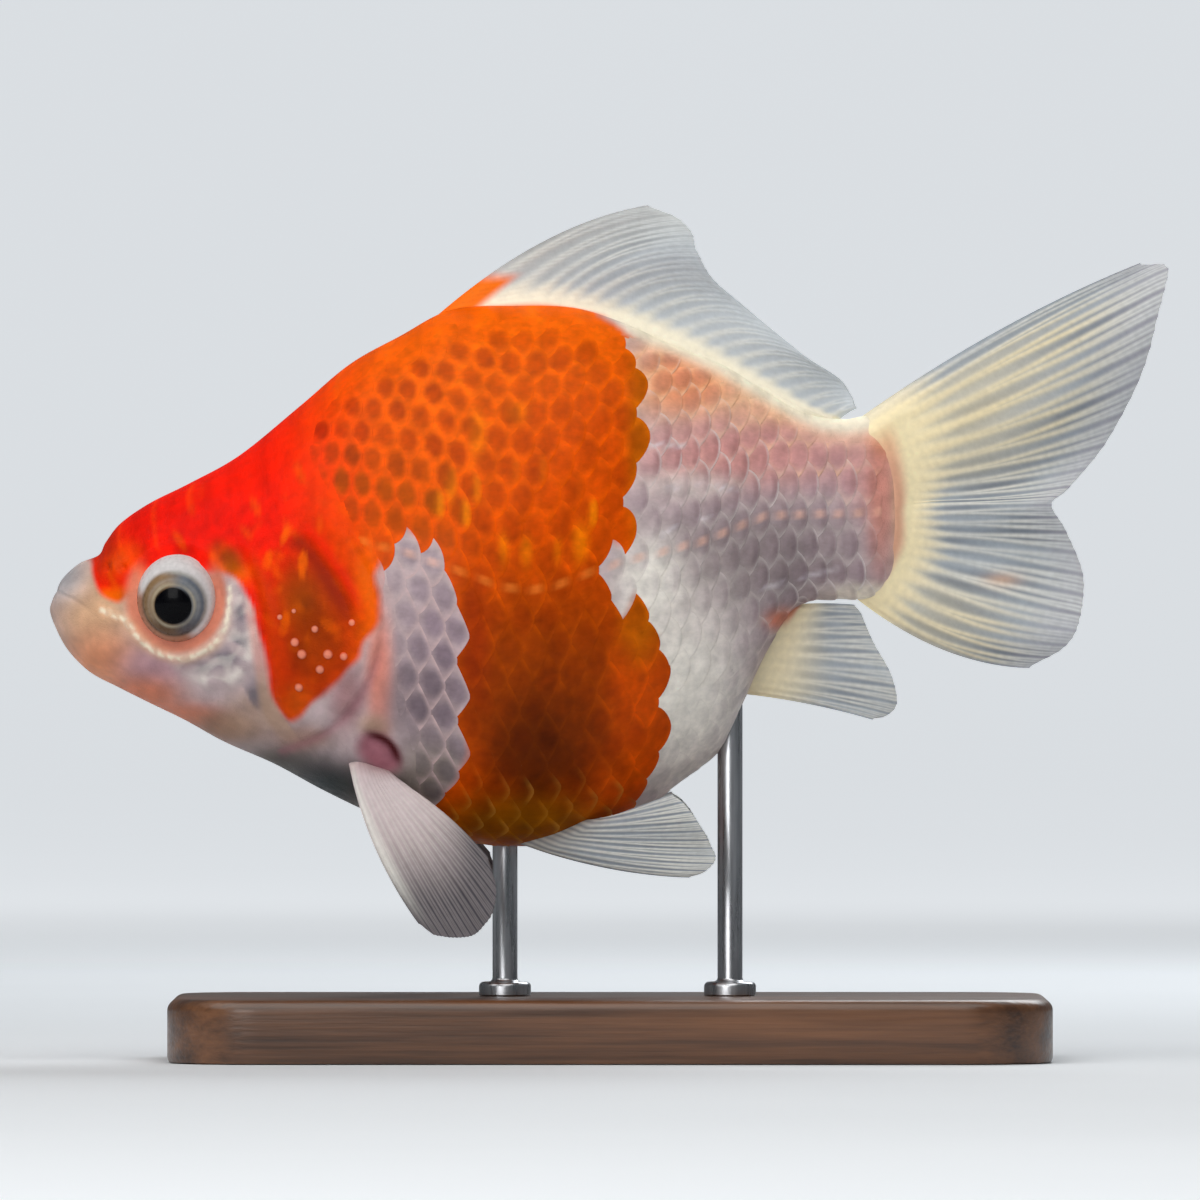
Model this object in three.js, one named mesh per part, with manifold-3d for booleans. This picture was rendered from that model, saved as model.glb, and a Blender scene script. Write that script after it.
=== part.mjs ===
// A goldfish of a deep-bodied, single-tailed fancy breed, life size, on a small display stand.
//
// Millimetres, +Z up. The fish looks towards -X, and its left flank faces -Y. The origin lies on
// the table, below the middle of the length from the lips to the tip of the tail fin.
//
// The body is one loft of slanted sections. Thin cuts part it into lower jaw, head, gill covers,
// trunk and tail stem, and the fins are thin sheets spanned by guide rays.

import * as THREE from 'three';
import { mergeVertices } from 'three/addons/utils/BufferGeometryUtils.js';
import Module from 'manifold-3d';

const wasm = await Module();
wasm.setup();

// ---------------------------------------------------------------- driving dimensions

const GAP = 0.3; // clearance between neighbouring pieces
const FAR = 200; // further out than any point of the model
const WELD = 1e-4; // corners closer together than this are one

// Sections from the lips to the end of the tail stem. `back` and `belly` are the section's highest
// and lowest points, [x, z], and `half` is its half width. `ridge` and `keel` shape its upper and
// lower halves: 1 is an ellipse, more is sharper and less is blunter.
const SECTIONS = [
  { back: [-55.6, 46.0], belly: [-55.7, 45.9], half: 0.0, ridge: 1.0, keel: 1.0 },
  { back: [-55.3, 47.0], belly: [-56.0, 45.0], half: 2.3, ridge: 1.0, keel: 1.0 },
  { back: [-54.6, 48.3], belly: [-55.5, 43.4], half: 4.0, ridge: 1.0, keel: 1.0 },
  { back: [-53.0, 49.7], belly: [-54.2, 41.0], half: 5.7, ridge: 0.95, keel: 1.0 },
  { back: [-51.1, 50.5], belly: [-52.0, 38.8], half: 7.1, ridge: 0.9, keel: 1.0 },
  { back: [-50.4, 51.8], belly: [-49.2, 37.3], half: 8.3, ridge: 0.85, keel: 1.0 },
  { back: [-48.9, 53.7], belly: [-46.0, 35.7], half: 9.5, ridge: 0.85, keel: 1.0 },
  { back: [-46.0, 55.7], belly: [-42.5, 34.0], half: 10.7, ridge: 0.85, keel: 1.0 },
  { back: [-42.0, 57.7], belly: [-38.5, 31.8], half: 12.0, ridge: 0.88, keel: 1.0 },
  { back: [-37.0, 60.5], belly: [-33.5, 29.6], half: 13.6, ridge: 0.95, keel: 1.0 },
  { back: [-31.0, 65.4], belly: [-28.5, 26.9], half: 15.2, ridge: 1.05, keel: 0.97 },
  { back: [-26.0, 69.6], belly: [-23.0, 24.3], half: 16.4, ridge: 1.12, keel: 0.94 },
  { back: [-21.0, 72.4], belly: [-18.0, 22.5], half: 17.1, ridge: 1.18, keel: 0.92 },
  { back: [-16.0, 75.0], belly: [-13.0, 21.4], half: 17.4, ridge: 1.2, keel: 0.9 },
  { back: [-10.0, 75.6], belly: [-8.0, 21.2], half: 17.1, ridge: 1.2, keel: 0.9 },
  { back: [-4.0, 75.5], belly: [-2.5, 21.9], half: 16.1, ridge: 1.2, keel: 0.92 },
  { back: [1.0, 74.1], belly: [2.5, 24.1], half: 14.6, ridge: 1.18, keel: 0.95 },
  { back: [6.0, 71.9], belly: [7.0, 27.5], half: 12.6, ridge: 1.15, keel: 1.0 },
  { back: [11.0, 69.9], belly: [11.0, 30.7], half: 10.3, ridge: 1.12, keel: 1.03 },
  { back: [15.0, 67.6], belly: [13.3, 35.2], half: 8.3, ridge: 1.1, keel: 1.05 },
  { back: [18.5, 65.5], belly: [15.8, 40.7], half: 6.7, ridge: 1.06, keel: 1.05 },
  { back: [21.2, 64.4], belly: [18.7, 45.2], half: 5.4, ridge: 1.03, keel: 1.03 },
  { back: [23.5, 64.1], belly: [22.5, 45.9], half: 4.4, ridge: 1.0, keel: 1.0 },
  { back: [25.8, 64.4], belly: [25.8, 46.0], half: 3.5, ridge: 1.0, keel: 1.0 },
  { back: [27.9, 63.4], belly: [27.9, 47.0], half: 2.4, ridge: 1.0, keel: 1.0 },
  { back: [29.0, 60.6], belly: [29.0, 49.6], half: 1.2, ridge: 1.0, keel: 1.0 },
  { back: [29.4, 55.3], belly: [29.4, 55.2], half: 0.0, ridge: 1.0, keel: 1.0 },
];
const RINGS = 48;
const SIDES = 24; // facets round the body
const WIDEST_DROP = 0.1; // how far below mid height the body is widest, as a share of half its height

// Where the body is parted. Each line runs from above the back to below the belly, [x, z].
const NECK_LINE = [
  [-36.6, 66.0], [-33.6, 61.5], [-28.4, 58.0], [-26.7, 54.4], [-24.8, 50.5], [-22.4, 47.0],
  [-22.3, 42.0], [-23.7, 36.0], [-26.3, 31.8], [-29.2, 29.2], [-31.0, 25.0],
];
const TAIL_LINE = [[23.7, 68.0], [18.1, 42.0]];
const MOUTH_OUTLINE = [
  [-60.0, 48.6], [-55.3, 46.9], [-51.0, 44.6], [-49.8, 42.0], [-49.4, 34.0], [-60.0, 34.0],
];

const GILL_COVER_OUTLINE = [
  [-36.1, 49.4], [-34.8, 44.8], [-34.0, 40.0], [-33.4, 35.6], [-31.4, 32.2], [-28.0, 32.7],
  [-25.4, 35.0], [-23.6, 38.8], [-22.8, 43.5], [-23.3, 47.8], [-25.2, 51.5], [-27.8, 54.6],
  [-31.0, 55.4], [-34.2, 53.2],
];
const GILL_COVER_DEPTH = 2.5;
const GILL_COVER_STEPS = 28; // straight lengths round its outline
const NECK_STEPS = 20; // straight lengths down the neck line

// The eyes look sideways, and forward by `turn`.
const EYE = { x: -43.2, y: 10.0, z: 46.15, long: 3.95, deep: 3.5, high: 4.4, turn: 0.24 };
const EYE_FACETS = { around: 16, along: 11 };

// Fins. Each guide ray is [base, bend, tip], and a ray is the quadratic curve that they control.
// The median fins lie in the middle plane, [x, z], and wave to the side by `wave`.
const DORSAL_FIN = {
  rays: [
    [[-17.0, 74.7], [-5.7, 84.4], [5.2, 85.7]],
    [[-9.0, 75.3], [-2.0, 82.8], [8.0, 83.2]],
    [[-5.0, 75.2], [0.6, 81.1], [8.8, 80.8]],
    [[-1.0, 74.5], [3.8, 79.1], [10.4, 78.1]],
    [[3.0, 73.1], [7.8, 77.2], [13.7, 75.2]],
    [[7.0, 71.4], [11.6, 74.9], [17.5, 72.0]],
    [[11.0, 69.5], [15.4, 72.3], [20.3, 69.8]],
    [[15.0, 67.4], [18.8, 69.4], [23.0, 68.1]],
    [[19.0, 65.1], [21.6, 66.6], [24.2, 66.4]],
    [[22.8, 63.9], [23.9, 64.9], [24.8, 65.2]],
  ],
  root: 1.9, rim: 0.6, wave: 0.7, ripples: 2.5,
};
const TAIL_FIN = {
  rays: [
    [[24.8, 64.1], [39.8, 74.7], [54.8, 80.4]],
    [[26.6, 63.2], [40.0, 71.5], [56.0, 79.2]],
    [[27.4, 61.5], [41.0, 66.8], [55.0, 74.5]],
    [[28.0, 59.5], [41.0, 62.0], [53.0, 68.0]],
    [[28.4, 57.5], [40.0, 58.6], [49.5, 61.5]],
    [[28.6, 55.8], [38.0, 56.0], [46.0, 57.3]],
    [[28.6, 54.8], [37.5, 55.4], [44.2, 55.5]],
    [[28.6, 53.5], [38.0, 53.0], [45.8, 52.8]],
    [[28.3, 51.7], [39.0, 50.0], [47.4, 48.5]],
    [[27.6, 50.0], [37.0, 46.3], [47.2, 44.5]],
    [[26.4, 48.0], [34.0, 42.0], [46.0, 41.5]],
    [[24.8, 46.0], [33.9, 39.0], [43.0, 39.2]],
  ],
  root: 2.6, rim: 0.6, wave: 0.9, ripples: 3.0,
};
const ANAL_FIN = {
  rays: [
    [[13.4, 36.6], [20.5, 35.8], [27.0, 33.8]],
    [[14.0, 37.8], [21.5, 37.0], [28.7, 35.4]],
    [[14.9, 39.7], [21.5, 39.2], [28.3, 38.4]],
    [[16.0, 41.7], [21.5, 41.5], [26.6, 41.4]],
    [[17.2, 43.7], [21.5, 43.8], [25.5, 43.8]],
    [[18.7, 45.6], [21.8, 45.8], [24.8, 45.5]],
  ],
  root: 1.6, rim: 0.6, wave: 0.3, ripples: 1.5,
};

// The paired fins stand out from the body: points are [x, y, z] on the right side, +Y.
const PECTORAL_FIN = {
  rays: [
    [[-26.3, 11.0, 31.2], [-24.5, 16.0, 21.0], [-18.2, 19.2, 12.9]],
    [[-25.2, 11.2, 30.8], [-21.5, 16.6, 22.0], [-15.5, 19.8, 12.5]],
    [[-24.0, 11.3, 30.3], [-19.0, 17.0, 22.5], [-13.0, 20.2, 13.0]],
    [[-22.8, 11.2, 29.8], [-17.0, 17.2, 24.0], [-11.3, 20.2, 16.0]],
    [[-21.4, 11.0, 29.2], [-16.0, 16.8, 25.5], [-11.5, 19.6, 19.8]],
  ],
  root: 1.8, rim: 0.6, wave: 0.25, ripples: 1.5,
};
const PELVIC_FIN = {
  rays: [
    [[-9.4, 3.4, 21.8], [0.0, 8.6, 18.4], [9.0, 12.6, 18.4]],
    [[-7.6, 4.4, 22.1], [1.0, 9.6, 20.2], [10.5, 13.6, 20.2]],
    [[-5.7, 5.4, 22.6], [2.0, 10.2, 22.0], [9.8, 13.8, 22.2]],
    [[-3.7, 6.4, 23.2], [2.5, 10.6, 23.8], [8.4, 13.6, 24.5]],
    [[-1.7, 7.2, 23.8], [3.0, 10.8, 25.5], [6.6, 13.0, 26.9]],
  ],
  root: 1.7, rim: 0.6, wave: 0.25, ripples: 1.5,
};
const FIN_STEPS_ALONG = 6;

const STAND_BASE = { length: 88, width: 44, height: 6.4, corner: 9, cornerSteps: 5, bevel: 1.0 };
const ROD = {
  radius: 1.25, facets: 12, inBase: 3.5, inBody: 5.0,
  collar: 2.6, collarHeight: 1.2, chamfer: 0.4,
};
const ROD_PLACES = { front: [-10.5, 21.2], rear: [12.0, 32.6] }; // x, and z where the rod meets the belly

// ---------------------------------------------------------------- curves and solids

// Uniform Catmull-Rom value at t, from 0 to 1, along a list of numbers.
function through(values, t) {
  const last = values.length - 1;
  const place = Math.min(Math.max(t, 0), 1) * last;
  const i = Math.min(Math.floor(place), last - 1);
  const f = place - i;
  const b = values[i];
  const c = values[i + 1];
  const a = i > 0 ? values[i - 1] : 2 * b - c;
  const d = i + 2 <= last ? values[i + 2] : 2 * c - b;
  const slopeB = (c - a) / 2;
  const slopeC = (d - b) / 2;
  const rise = c - b;
  return b + f * (slopeB + f * (3 * rise - 2 * slopeB - slopeC + f * (slopeB + slopeC - 2 * rise)));
}

function pointThrough(points, t) {
  return points[0].map((_, axis) => through(points.map((point) => point[axis]), t));
}

function toSolid(geometry) {
  const bare = geometry.index ? geometry.toNonIndexed() : geometry.clone();
  bare.deleteAttribute('normal');
  bare.deleteAttribute('uv');
  const merged = mergeVertices(bare, WELD);
  return new wasm.Manifold(new wasm.Mesh({
    numProp: 3,
    vertProperties: new Float32Array(merged.attributes.position.array),
    triVerts: new Uint32Array(merged.index.array),
  }));
}

function toGeometry(solid) {
  const { vertProperties, triVerts, numProp } = solid.getMesh();
  const positions = [];
  for (let i = 0; i < vertProperties.length; i += numProp) {
    positions.push(vertProperties[i], vertProperties[i + 1], vertProperties[i + 2]);
  }
  const geometry = new THREE.BufferGeometry();
  geometry.setAttribute('position', new THREE.Float32BufferAttribute(positions, 3));
  geometry.setIndex(Array.from(triVerts));
  geometry.computeVertexNormals();
  return geometry;
}

// A closed surface with its faces turned outwards: inside out, its signed volume is negative.
function geometryFrom(positions, triangles) {
  const corner = (index) => new THREE.Vector3(...positions[index]);
  const volume = triangles.reduce((sum, [a, b, c]) => sum + corner(a).dot(corner(b).cross(corner(c))) / 6, 0);
  const faces = volume > 0 ? triangles : triangles.map(([a, b, c]) => [a, c, b]);
  const geometry = new THREE.BufferGeometry();
  geometry.setAttribute('position', new THREE.Float32BufferAttribute(positions.flat(), 3));
  geometry.setIndex(faces.flat());
  return geometry;
}

// Moves each point of an [x, z] line to its left by `distance`, seen along the line.
function shifted(points, distance, closed = false) {
  return points.map((point, i) => {
    const count = points.length;
    const before = closed ? points[(i + count - 1) % count] : points[Math.max(i - 1, 0)];
    const after = closed ? points[(i + 1) % count] : points[Math.min(i + 1, count - 1)];
    const along = new THREE.Vector2(after[0] - before[0], after[1] - before[1]).normalize();
    return [point[0] - along.y * distance, point[1] + along.x * distance];
  });
}

// A straight prism of an [x, z] outline, from y = low to y = high.
function prism(outline, low, high) {
  const shape = new THREE.Shape(outline.map(([x, z]) => new THREE.Vector2(x, z)));
  const geometry = new THREE.ExtrudeGeometry(shape, { depth: high - low, bevelEnabled: false, steps: 1 });
  geometry.rotateX(Math.PI / 2);
  geometry.translate(0, high, 0);
  return toSolid(geometry);
}

// Parts a solid along a line that runs from above it to below it, and leaves a gap there.
function part(solid, line) {
  const region = (side) => {
    const edge = shifted(line, (side * GAP) / 2);
    const top = [edge[0][0], FAR];
    const bottom = [edge.at(-1)[0], -FAR];
    return prism([top, ...edge, bottom, [side * FAR, -FAR], [side * FAR, FAR]], -FAR, FAR);
  };
  return { front: solid.intersect(region(-1)), rear: solid.intersect(region(1)) };
}

// ---------------------------------------------------------------- body

function sectionAt(t) {
  const value = (key) => through(SECTIONS.map((section) => section[key]), t);
  return {
    back: pointThrough(SECTIONS.map((section) => section.back), t),
    belly: pointThrough(SECTIONS.map((section) => section.belly), t),
    half: Math.max(value('half'), 0),
    ridge: value('ridge'),
    keel: value('keel'),
  };
}

// The body's closed surface, all of it `growth` further out and `slide` further back.
function bodySolid(growth = 0, slide = 0) {
  const positions = [];
  const triangles = [];
  for (let ring = 1; ring < RINGS; ring += 1) {
    const { back, belly, half, ridge, keel } = sectionAt(ring / RINGS);
    const middle = [(back[0] + belly[0]) / 2, (back[1] + belly[1]) / 2];
    const rise = [(back[0] - belly[0]) / 2, (back[1] - belly[1]) / 2];
    const stretch = Math.max(1 + growth / Math.hypot(...rise), 0.1);
    const width = Math.max(half + growth, 0.1);
    for (let side = 0; side < SIDES; side += 1) {
      const angle = (2 * Math.PI * side) / SIDES;
      const out = Math.abs(Math.sin(angle)) ** (Math.cos(angle) > 0 ? ridge : keel);
      const up = (Math.cos(angle) - WIDEST_DROP * Math.sin(angle) ** 2) * stretch;
      positions.push([
        middle[0] + rise[0] * up + slide,
        width * out * Math.sign(Math.sin(angle)),
        middle[1] + rise[1] * up,
      ]);
    }
  }
  const lips = positions.push([SECTIONS[0].back[0] - growth + slide, 0, SECTIONS[0].back[1]]) - 1;
  const end = positions.push([SECTIONS.at(-1).back[0] + growth + slide, 0, SECTIONS.at(-1).back[1]]) - 1;
  const lastRing = (RINGS - 2) * SIDES;
  for (let side = 0; side < SIDES; side += 1) {
    const next = (side + 1) % SIDES;
    triangles.push([lips, side, next], [end, lastRing + next, lastRing + side]);
    for (let start = 0; start < lastRing; start += SIDES) {
      const [a, b, c, d] = [start + side, start + next, start + SIDES + side, start + SIDES + next];
      triangles.push([a, c, b], [b, c, d]);
    }
  }
  return toSolid(geometryFrom(positions, triangles));
}

function eyeSolid(side, growth = 0) {
  const geometry = new THREE.SphereGeometry(1, EYE_FACETS.around, EYE_FACETS.along);
  geometry.scale(EYE.long + growth, EYE.deep + growth, EYE.high + growth);
  geometry.rotateZ(side * EYE.turn);
  geometry.translate(EYE.x, side * EYE.y, EYE.z);
  return toSolid(geometry);
}

function closedLine(points, count) {
  const curve = new THREE.CatmullRomCurve3(points.map(([x, z]) => new THREE.Vector3(x, 0, z)), true);
  return curve.getPoints(count).slice(0, -1).map((point) => [point.x, point.z]);
}

function openLine(points, count) {
  return Array.from({ length: count + 1 }, (_, i) => pointThrough(points, i / count));
}

function makeBody() {
  const body = bodySolid();
  const gillOutline = closedLine(GILL_COVER_OUTLINE, GILL_COVER_STEPS);
  const underCover = bodySolid(-GILL_COVER_DEPTH);
  const covers = {};
  let rest = body;
  for (const [name, low, high] of [['left', -FAR, 0], ['right', 0, FAR]]) {
    covers[name] = body.intersect(prism(gillOutline, low, high)).subtract(underCover);
    const slot = prism(shifted(gillOutline, -GAP, true), low, high)
      .subtract(bodySolid(-GILL_COVER_DEPTH - GAP));
    rest = rest.subtract(slot);
  }
  for (const side of [-1, 1]) {
    rest = rest.subtract(eyeSolid(side, GAP));
  }
  for (const place of Object.values(ROD_PLACES)) {
    rest = rest.subtract(rodHole(place));
  }
  const neck = part(rest, openLine(NECK_LINE, NECK_STEPS));
  const tail = part(neck.rear, TAIL_LINE);
  const jawRegion = (growth) => prism(shifted(MOUTH_OUTLINE, growth, true), -FAR, FAR);
  return {
    covers,
    lowerJaw: neck.front.intersect(jawRegion(-GAP / 2)),
    head: neck.front.subtract(jawRegion(GAP / 2)),
    trunk: tail.front,
    tailStem: tail.rear,
  };
}

// ---------------------------------------------------------------- fins

// A fin's middle surface at u across its rays, from front to rear, and v out along them.
function finPoint(fin, u, v) {
  const [base, bend, tip] = [0, 1, 2].map((place) => pointThrough(fin.rays.map((ray) => ray[place]), u));
  const weights = [(1 - v) ** 2, 2 * v * (1 - v), v ** 2];
  const along = (axis) => base[axis] * weights[0] + bend[axis] * weights[1] + tip[axis] * weights[2];
  const point = base.map((_, axis) => along(axis));
  const [x, y, z] = point.length === 2 ? [point[0], 0, point[1]] : point;
  const wave = fin.wave * v * Math.sin(2 * Math.PI * fin.ripples * u + v);
  return new THREE.Vector3(x, y + wave, z);
}

// A closed sheet over a fin's surface, thick at the root and thin at the rim.
function finSolid(fin, side = 1) {
  const across = (fin.rays.length - 1) * 2;
  const along = FIN_STEPS_ALONG;
  const positions = [];
  for (const face of [-1, 1]) {
    for (let i = 0; i <= across; i += 1) {
      for (let j = 0; j <= along; j += 1) {
        const v = j / along;
        const point = finPoint(fin, i / across, v);
        const thickness = fin.rim + (fin.root - fin.rim) * (1 - v) ** 2;
        positions.push([point.x, side * (point.y + (face * thickness) / 2), point.z]);
      }
    }
  }
  const row = along + 1;
  const sheet = (across + 1) * row;
  const triangles = [];
  const quad = (a, b, c, d) => triangles.push([a, b, c], [a, c, d]);
  for (let i = 0; i < across; i += 1) {
    for (let j = 0; j < along; j += 1) {
      const [a, b, c, d] = [i * row + j, i * row + j + 1, (i + 1) * row + j + 1, (i + 1) * row + j];
      quad(a, b, c, d);
      quad(sheet + a, sheet + d, sheet + c, sheet + b);
    }
    const [rootA, rootB] = [i * row, (i + 1) * row];
    quad(rootA, rootB, sheet + rootB, sheet + rootA);
    quad(rootA + along, sheet + rootA + along, sheet + rootB + along, rootB + along);
  }
  for (let j = 0; j < along; j += 1) {
    const last = across * row;
    quad(j, sheet + j, sheet + j + 1, j + 1);
    quad(last + j, last + j + 1, sheet + last + j + 1, sheet + last + j);
  }
  return toSolid(geometryFrom(positions, triangles));
}

// ---------------------------------------------------------------- stand

function rodGeometry([x, meets], growth = 0) {
  const bottom = STAND_BASE.height - ROD.inBase - growth;
  const top = meets + ROD.inBody + growth;
  const radius = ROD.radius + growth;
  const collarLow = STAND_BASE.height + GAP;
  const collarHigh = collarLow + ROD.collarHeight;
  const profile = [
    [0, bottom], [radius, bottom], [radius, collarLow], [ROD.collar, collarLow],
    [ROD.collar, collarHigh - ROD.chamfer], [ROD.collar - ROD.chamfer, collarHigh], [radius, collarHigh],
    [radius, top - radius / 2], [radius / 2, top], [0, top],
  ];
  const geometry = new THREE.LatheGeometry(profile.map(([r, z]) => new THREE.Vector2(r, z)), ROD.facets);
  geometry.rotateX(Math.PI / 2);
  geometry.translate(x, 0, 0);
  return geometry;
}

function rodHole(place) {
  return toSolid(rodGeometry(place, GAP));
}

function standBase() {
  const { length, width, height, corner, cornerSteps, bevel } = STAND_BASE;
  const [halfLength, halfWidth] = [length / 2 - bevel, width / 2 - bevel];
  const radius = corner - bevel;
  const shape = new THREE.Shape();
  shape.moveTo(-halfLength + radius, -halfWidth);
  shape.absarc(halfLength - radius, -halfWidth + radius, radius, -Math.PI / 2, 0);
  shape.absarc(halfLength - radius, halfWidth - radius, radius, 0, Math.PI / 2);
  shape.absarc(-halfLength + radius, halfWidth - radius, radius, Math.PI / 2, Math.PI);
  shape.absarc(-halfLength + radius, -halfWidth + radius, radius, Math.PI, (3 * Math.PI) / 2);
  const geometry = new THREE.ExtrudeGeometry(shape, {
    depth: height - 2 * bevel,
    bevelThickness: bevel,
    bevelSize: bevel,
    bevelSegments: 1,
    curveSegments: cornerSteps,
  });
  geometry.translate(0, 0, bevel);
  let solid = toSolid(geometry);
  for (const place of Object.values(ROD_PLACES)) {
    solid = solid.subtract(rodHole(place));
  }
  return solid;
}

// ---------------------------------------------------------------- the model

function paint(color, roughness, metalness = 0) {
  return new THREE.MeshStandardMaterial({ color, roughness, metalness });
}

const scarlet = paint(0xe0321a, 0.4);
const orange = paint(0xe2640c, 0.45);
const peach = paint(0xd9a48c, 0.4);
const blush = paint(0xc99a94, 0.45);
const finWhite = paint(0xb8bcc0, 0.5);
const pinkWhite = paint(0xcdbab8, 0.5);
const eyeSilver = paint(0x9a9a88, 0.15);
const wood = paint(0x3a2418, 0.45);
const steel = paint(0xb8babd, 0.3, 1);

const goldfish = new THREE.Group();

function add(name, solid, material) {
  const mesh = new THREE.Mesh(toGeometry(solid), material);
  mesh.name = name;
  goldfish.add(mesh);
}

const body = makeBody();
const clearOfBody = bodySolid(GAP).add(bodySolid(0, GAP));

add('head', body.head, scarlet);
add('lower_jaw', body.lowerJaw, peach);
add('trunk', body.trunk, orange);
add('tail_stem', body.tailStem, blush);
add('fin_dorsal', finSolid(DORSAL_FIN).subtract(clearOfBody), finWhite);
add('fin_tail', finSolid(TAIL_FIN).subtract(clearOfBody), finWhite);
add('fin_anal', finSolid(ANAL_FIN).subtract(clearOfBody), finWhite);
for (const [name, side] of [['left', -1], ['right', 1]]) {
  add(`gill_cover_${name}`, body.covers[name], orange);
  add(`eye_${name}`, eyeSolid(side), eyeSilver);
  add(`fin_pectoral_${name}`, finSolid(PECTORAL_FIN, side).subtract(clearOfBody), pinkWhite);
  add(`fin_pelvic_${name}`, finSolid(PELVIC_FIN, side).subtract(clearOfBody), finWhite);
}
add('stand_base', standBase(), wood);
for (const [name, place] of Object.entries(ROD_PLACES)) {
  add(`stand_rod_${name}`, toSolid(rodGeometry(place)), steel);
}

export default goldfish;
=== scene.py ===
"""A goldfish of a deep-bodied, single-tailed fancy breed, dressed over its solids.

One skin is lofted through the same sections as the solids. Joined scales, tubercles, fins and eyes
go over it, and a wooden base with two steel rods carries it. Sizes are in millimetres until a
mesh is made. The fish looks towards -X. `side` is -1 on its left, which faces -Y, and 1 on its right.
"""

import math
from collections import namedtuple

import bpy
import numpy as np
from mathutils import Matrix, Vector


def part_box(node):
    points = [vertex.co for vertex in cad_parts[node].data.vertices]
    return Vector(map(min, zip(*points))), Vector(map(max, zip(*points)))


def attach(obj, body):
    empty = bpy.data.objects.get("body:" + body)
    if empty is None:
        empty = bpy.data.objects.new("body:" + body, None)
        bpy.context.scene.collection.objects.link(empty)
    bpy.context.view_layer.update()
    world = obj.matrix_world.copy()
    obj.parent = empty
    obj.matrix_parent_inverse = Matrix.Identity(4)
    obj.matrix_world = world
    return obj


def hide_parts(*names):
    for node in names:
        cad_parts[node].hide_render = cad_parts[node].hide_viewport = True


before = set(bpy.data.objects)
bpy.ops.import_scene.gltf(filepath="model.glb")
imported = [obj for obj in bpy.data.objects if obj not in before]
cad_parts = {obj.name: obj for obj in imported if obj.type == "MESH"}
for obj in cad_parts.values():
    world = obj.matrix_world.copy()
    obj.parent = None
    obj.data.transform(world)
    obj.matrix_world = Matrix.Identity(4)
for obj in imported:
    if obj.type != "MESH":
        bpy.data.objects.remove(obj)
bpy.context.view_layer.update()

MM = 0.001
LEFT, RIGHT = -1, 1
SIDE_NAMES = {LEFT: "left", RIGHT: "right"}

# ---------------------------------------------------------------- sizes shared with the solids

# Sections from the lips to the end of the tail stem: the highest point (x, z), the lowest point
# (x, z), the half width, and the powers that shape the upper and the lower half.
SECTIONS = np.array([
    (-55.6, 46.0, -55.7, 45.9, 0.0, 1.0, 1.0),
    (-55.3, 47.0, -56.0, 45.0, 2.3, 1.0, 1.0),
    (-54.6, 48.3, -55.5, 43.4, 4.0, 1.0, 1.0),
    (-53.0, 49.7, -54.2, 41.0, 5.7, 0.95, 1.0),
    (-51.1, 50.5, -52.0, 38.8, 7.1, 0.9, 1.0),
    (-50.4, 51.8, -49.2, 37.3, 8.3, 0.85, 1.0),
    (-48.9, 53.7, -46.0, 35.7, 9.5, 0.85, 1.0),
    (-46.0, 55.7, -42.5, 34.0, 10.7, 0.85, 1.0),
    (-42.0, 57.7, -38.5, 31.8, 12.0, 0.88, 1.0),
    (-37.0, 60.5, -33.5, 29.6, 13.6, 0.95, 1.0),
    (-31.0, 65.4, -28.5, 26.9, 15.2, 1.05, 0.97),
    (-26.0, 69.6, -23.0, 24.3, 16.4, 1.12, 0.94),
    (-21.0, 72.4, -18.0, 22.5, 17.1, 1.18, 0.92),
    (-16.0, 75.0, -13.0, 21.4, 17.4, 1.2, 0.9),
    (-10.0, 75.6, -8.0, 21.2, 17.1, 1.2, 0.9),
    (-4.0, 75.5, -2.5, 21.9, 16.1, 1.2, 0.92),
    (1.0, 74.1, 2.5, 24.1, 14.6, 1.18, 0.95),
    (6.0, 71.9, 7.0, 27.5, 12.6, 1.15, 1.0),
    (11.0, 69.9, 11.0, 30.7, 10.3, 1.12, 1.03),
    (15.0, 67.6, 13.3, 35.2, 8.3, 1.1, 1.05),
    (18.5, 65.5, 15.8, 40.7, 6.7, 1.06, 1.05),
    (21.2, 64.4, 18.7, 45.2, 5.4, 1.03, 1.03),
    (23.5, 64.1, 22.5, 45.9, 4.4, 1.0, 1.0),
    (25.8, 64.4, 25.8, 46.0, 3.5, 1.0, 1.0),
    (27.9, 63.4, 27.9, 47.0, 2.4, 1.0, 1.0),
    (29.0, 60.6, 29.0, 49.6, 1.2, 1.0, 1.0),
    (29.4, 55.3, 29.4, 55.2, 0.0, 1.0, 1.0),
])
WIDEST_DROP = 0.1  # how far below mid height the body is widest, as a share of half its height

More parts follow.
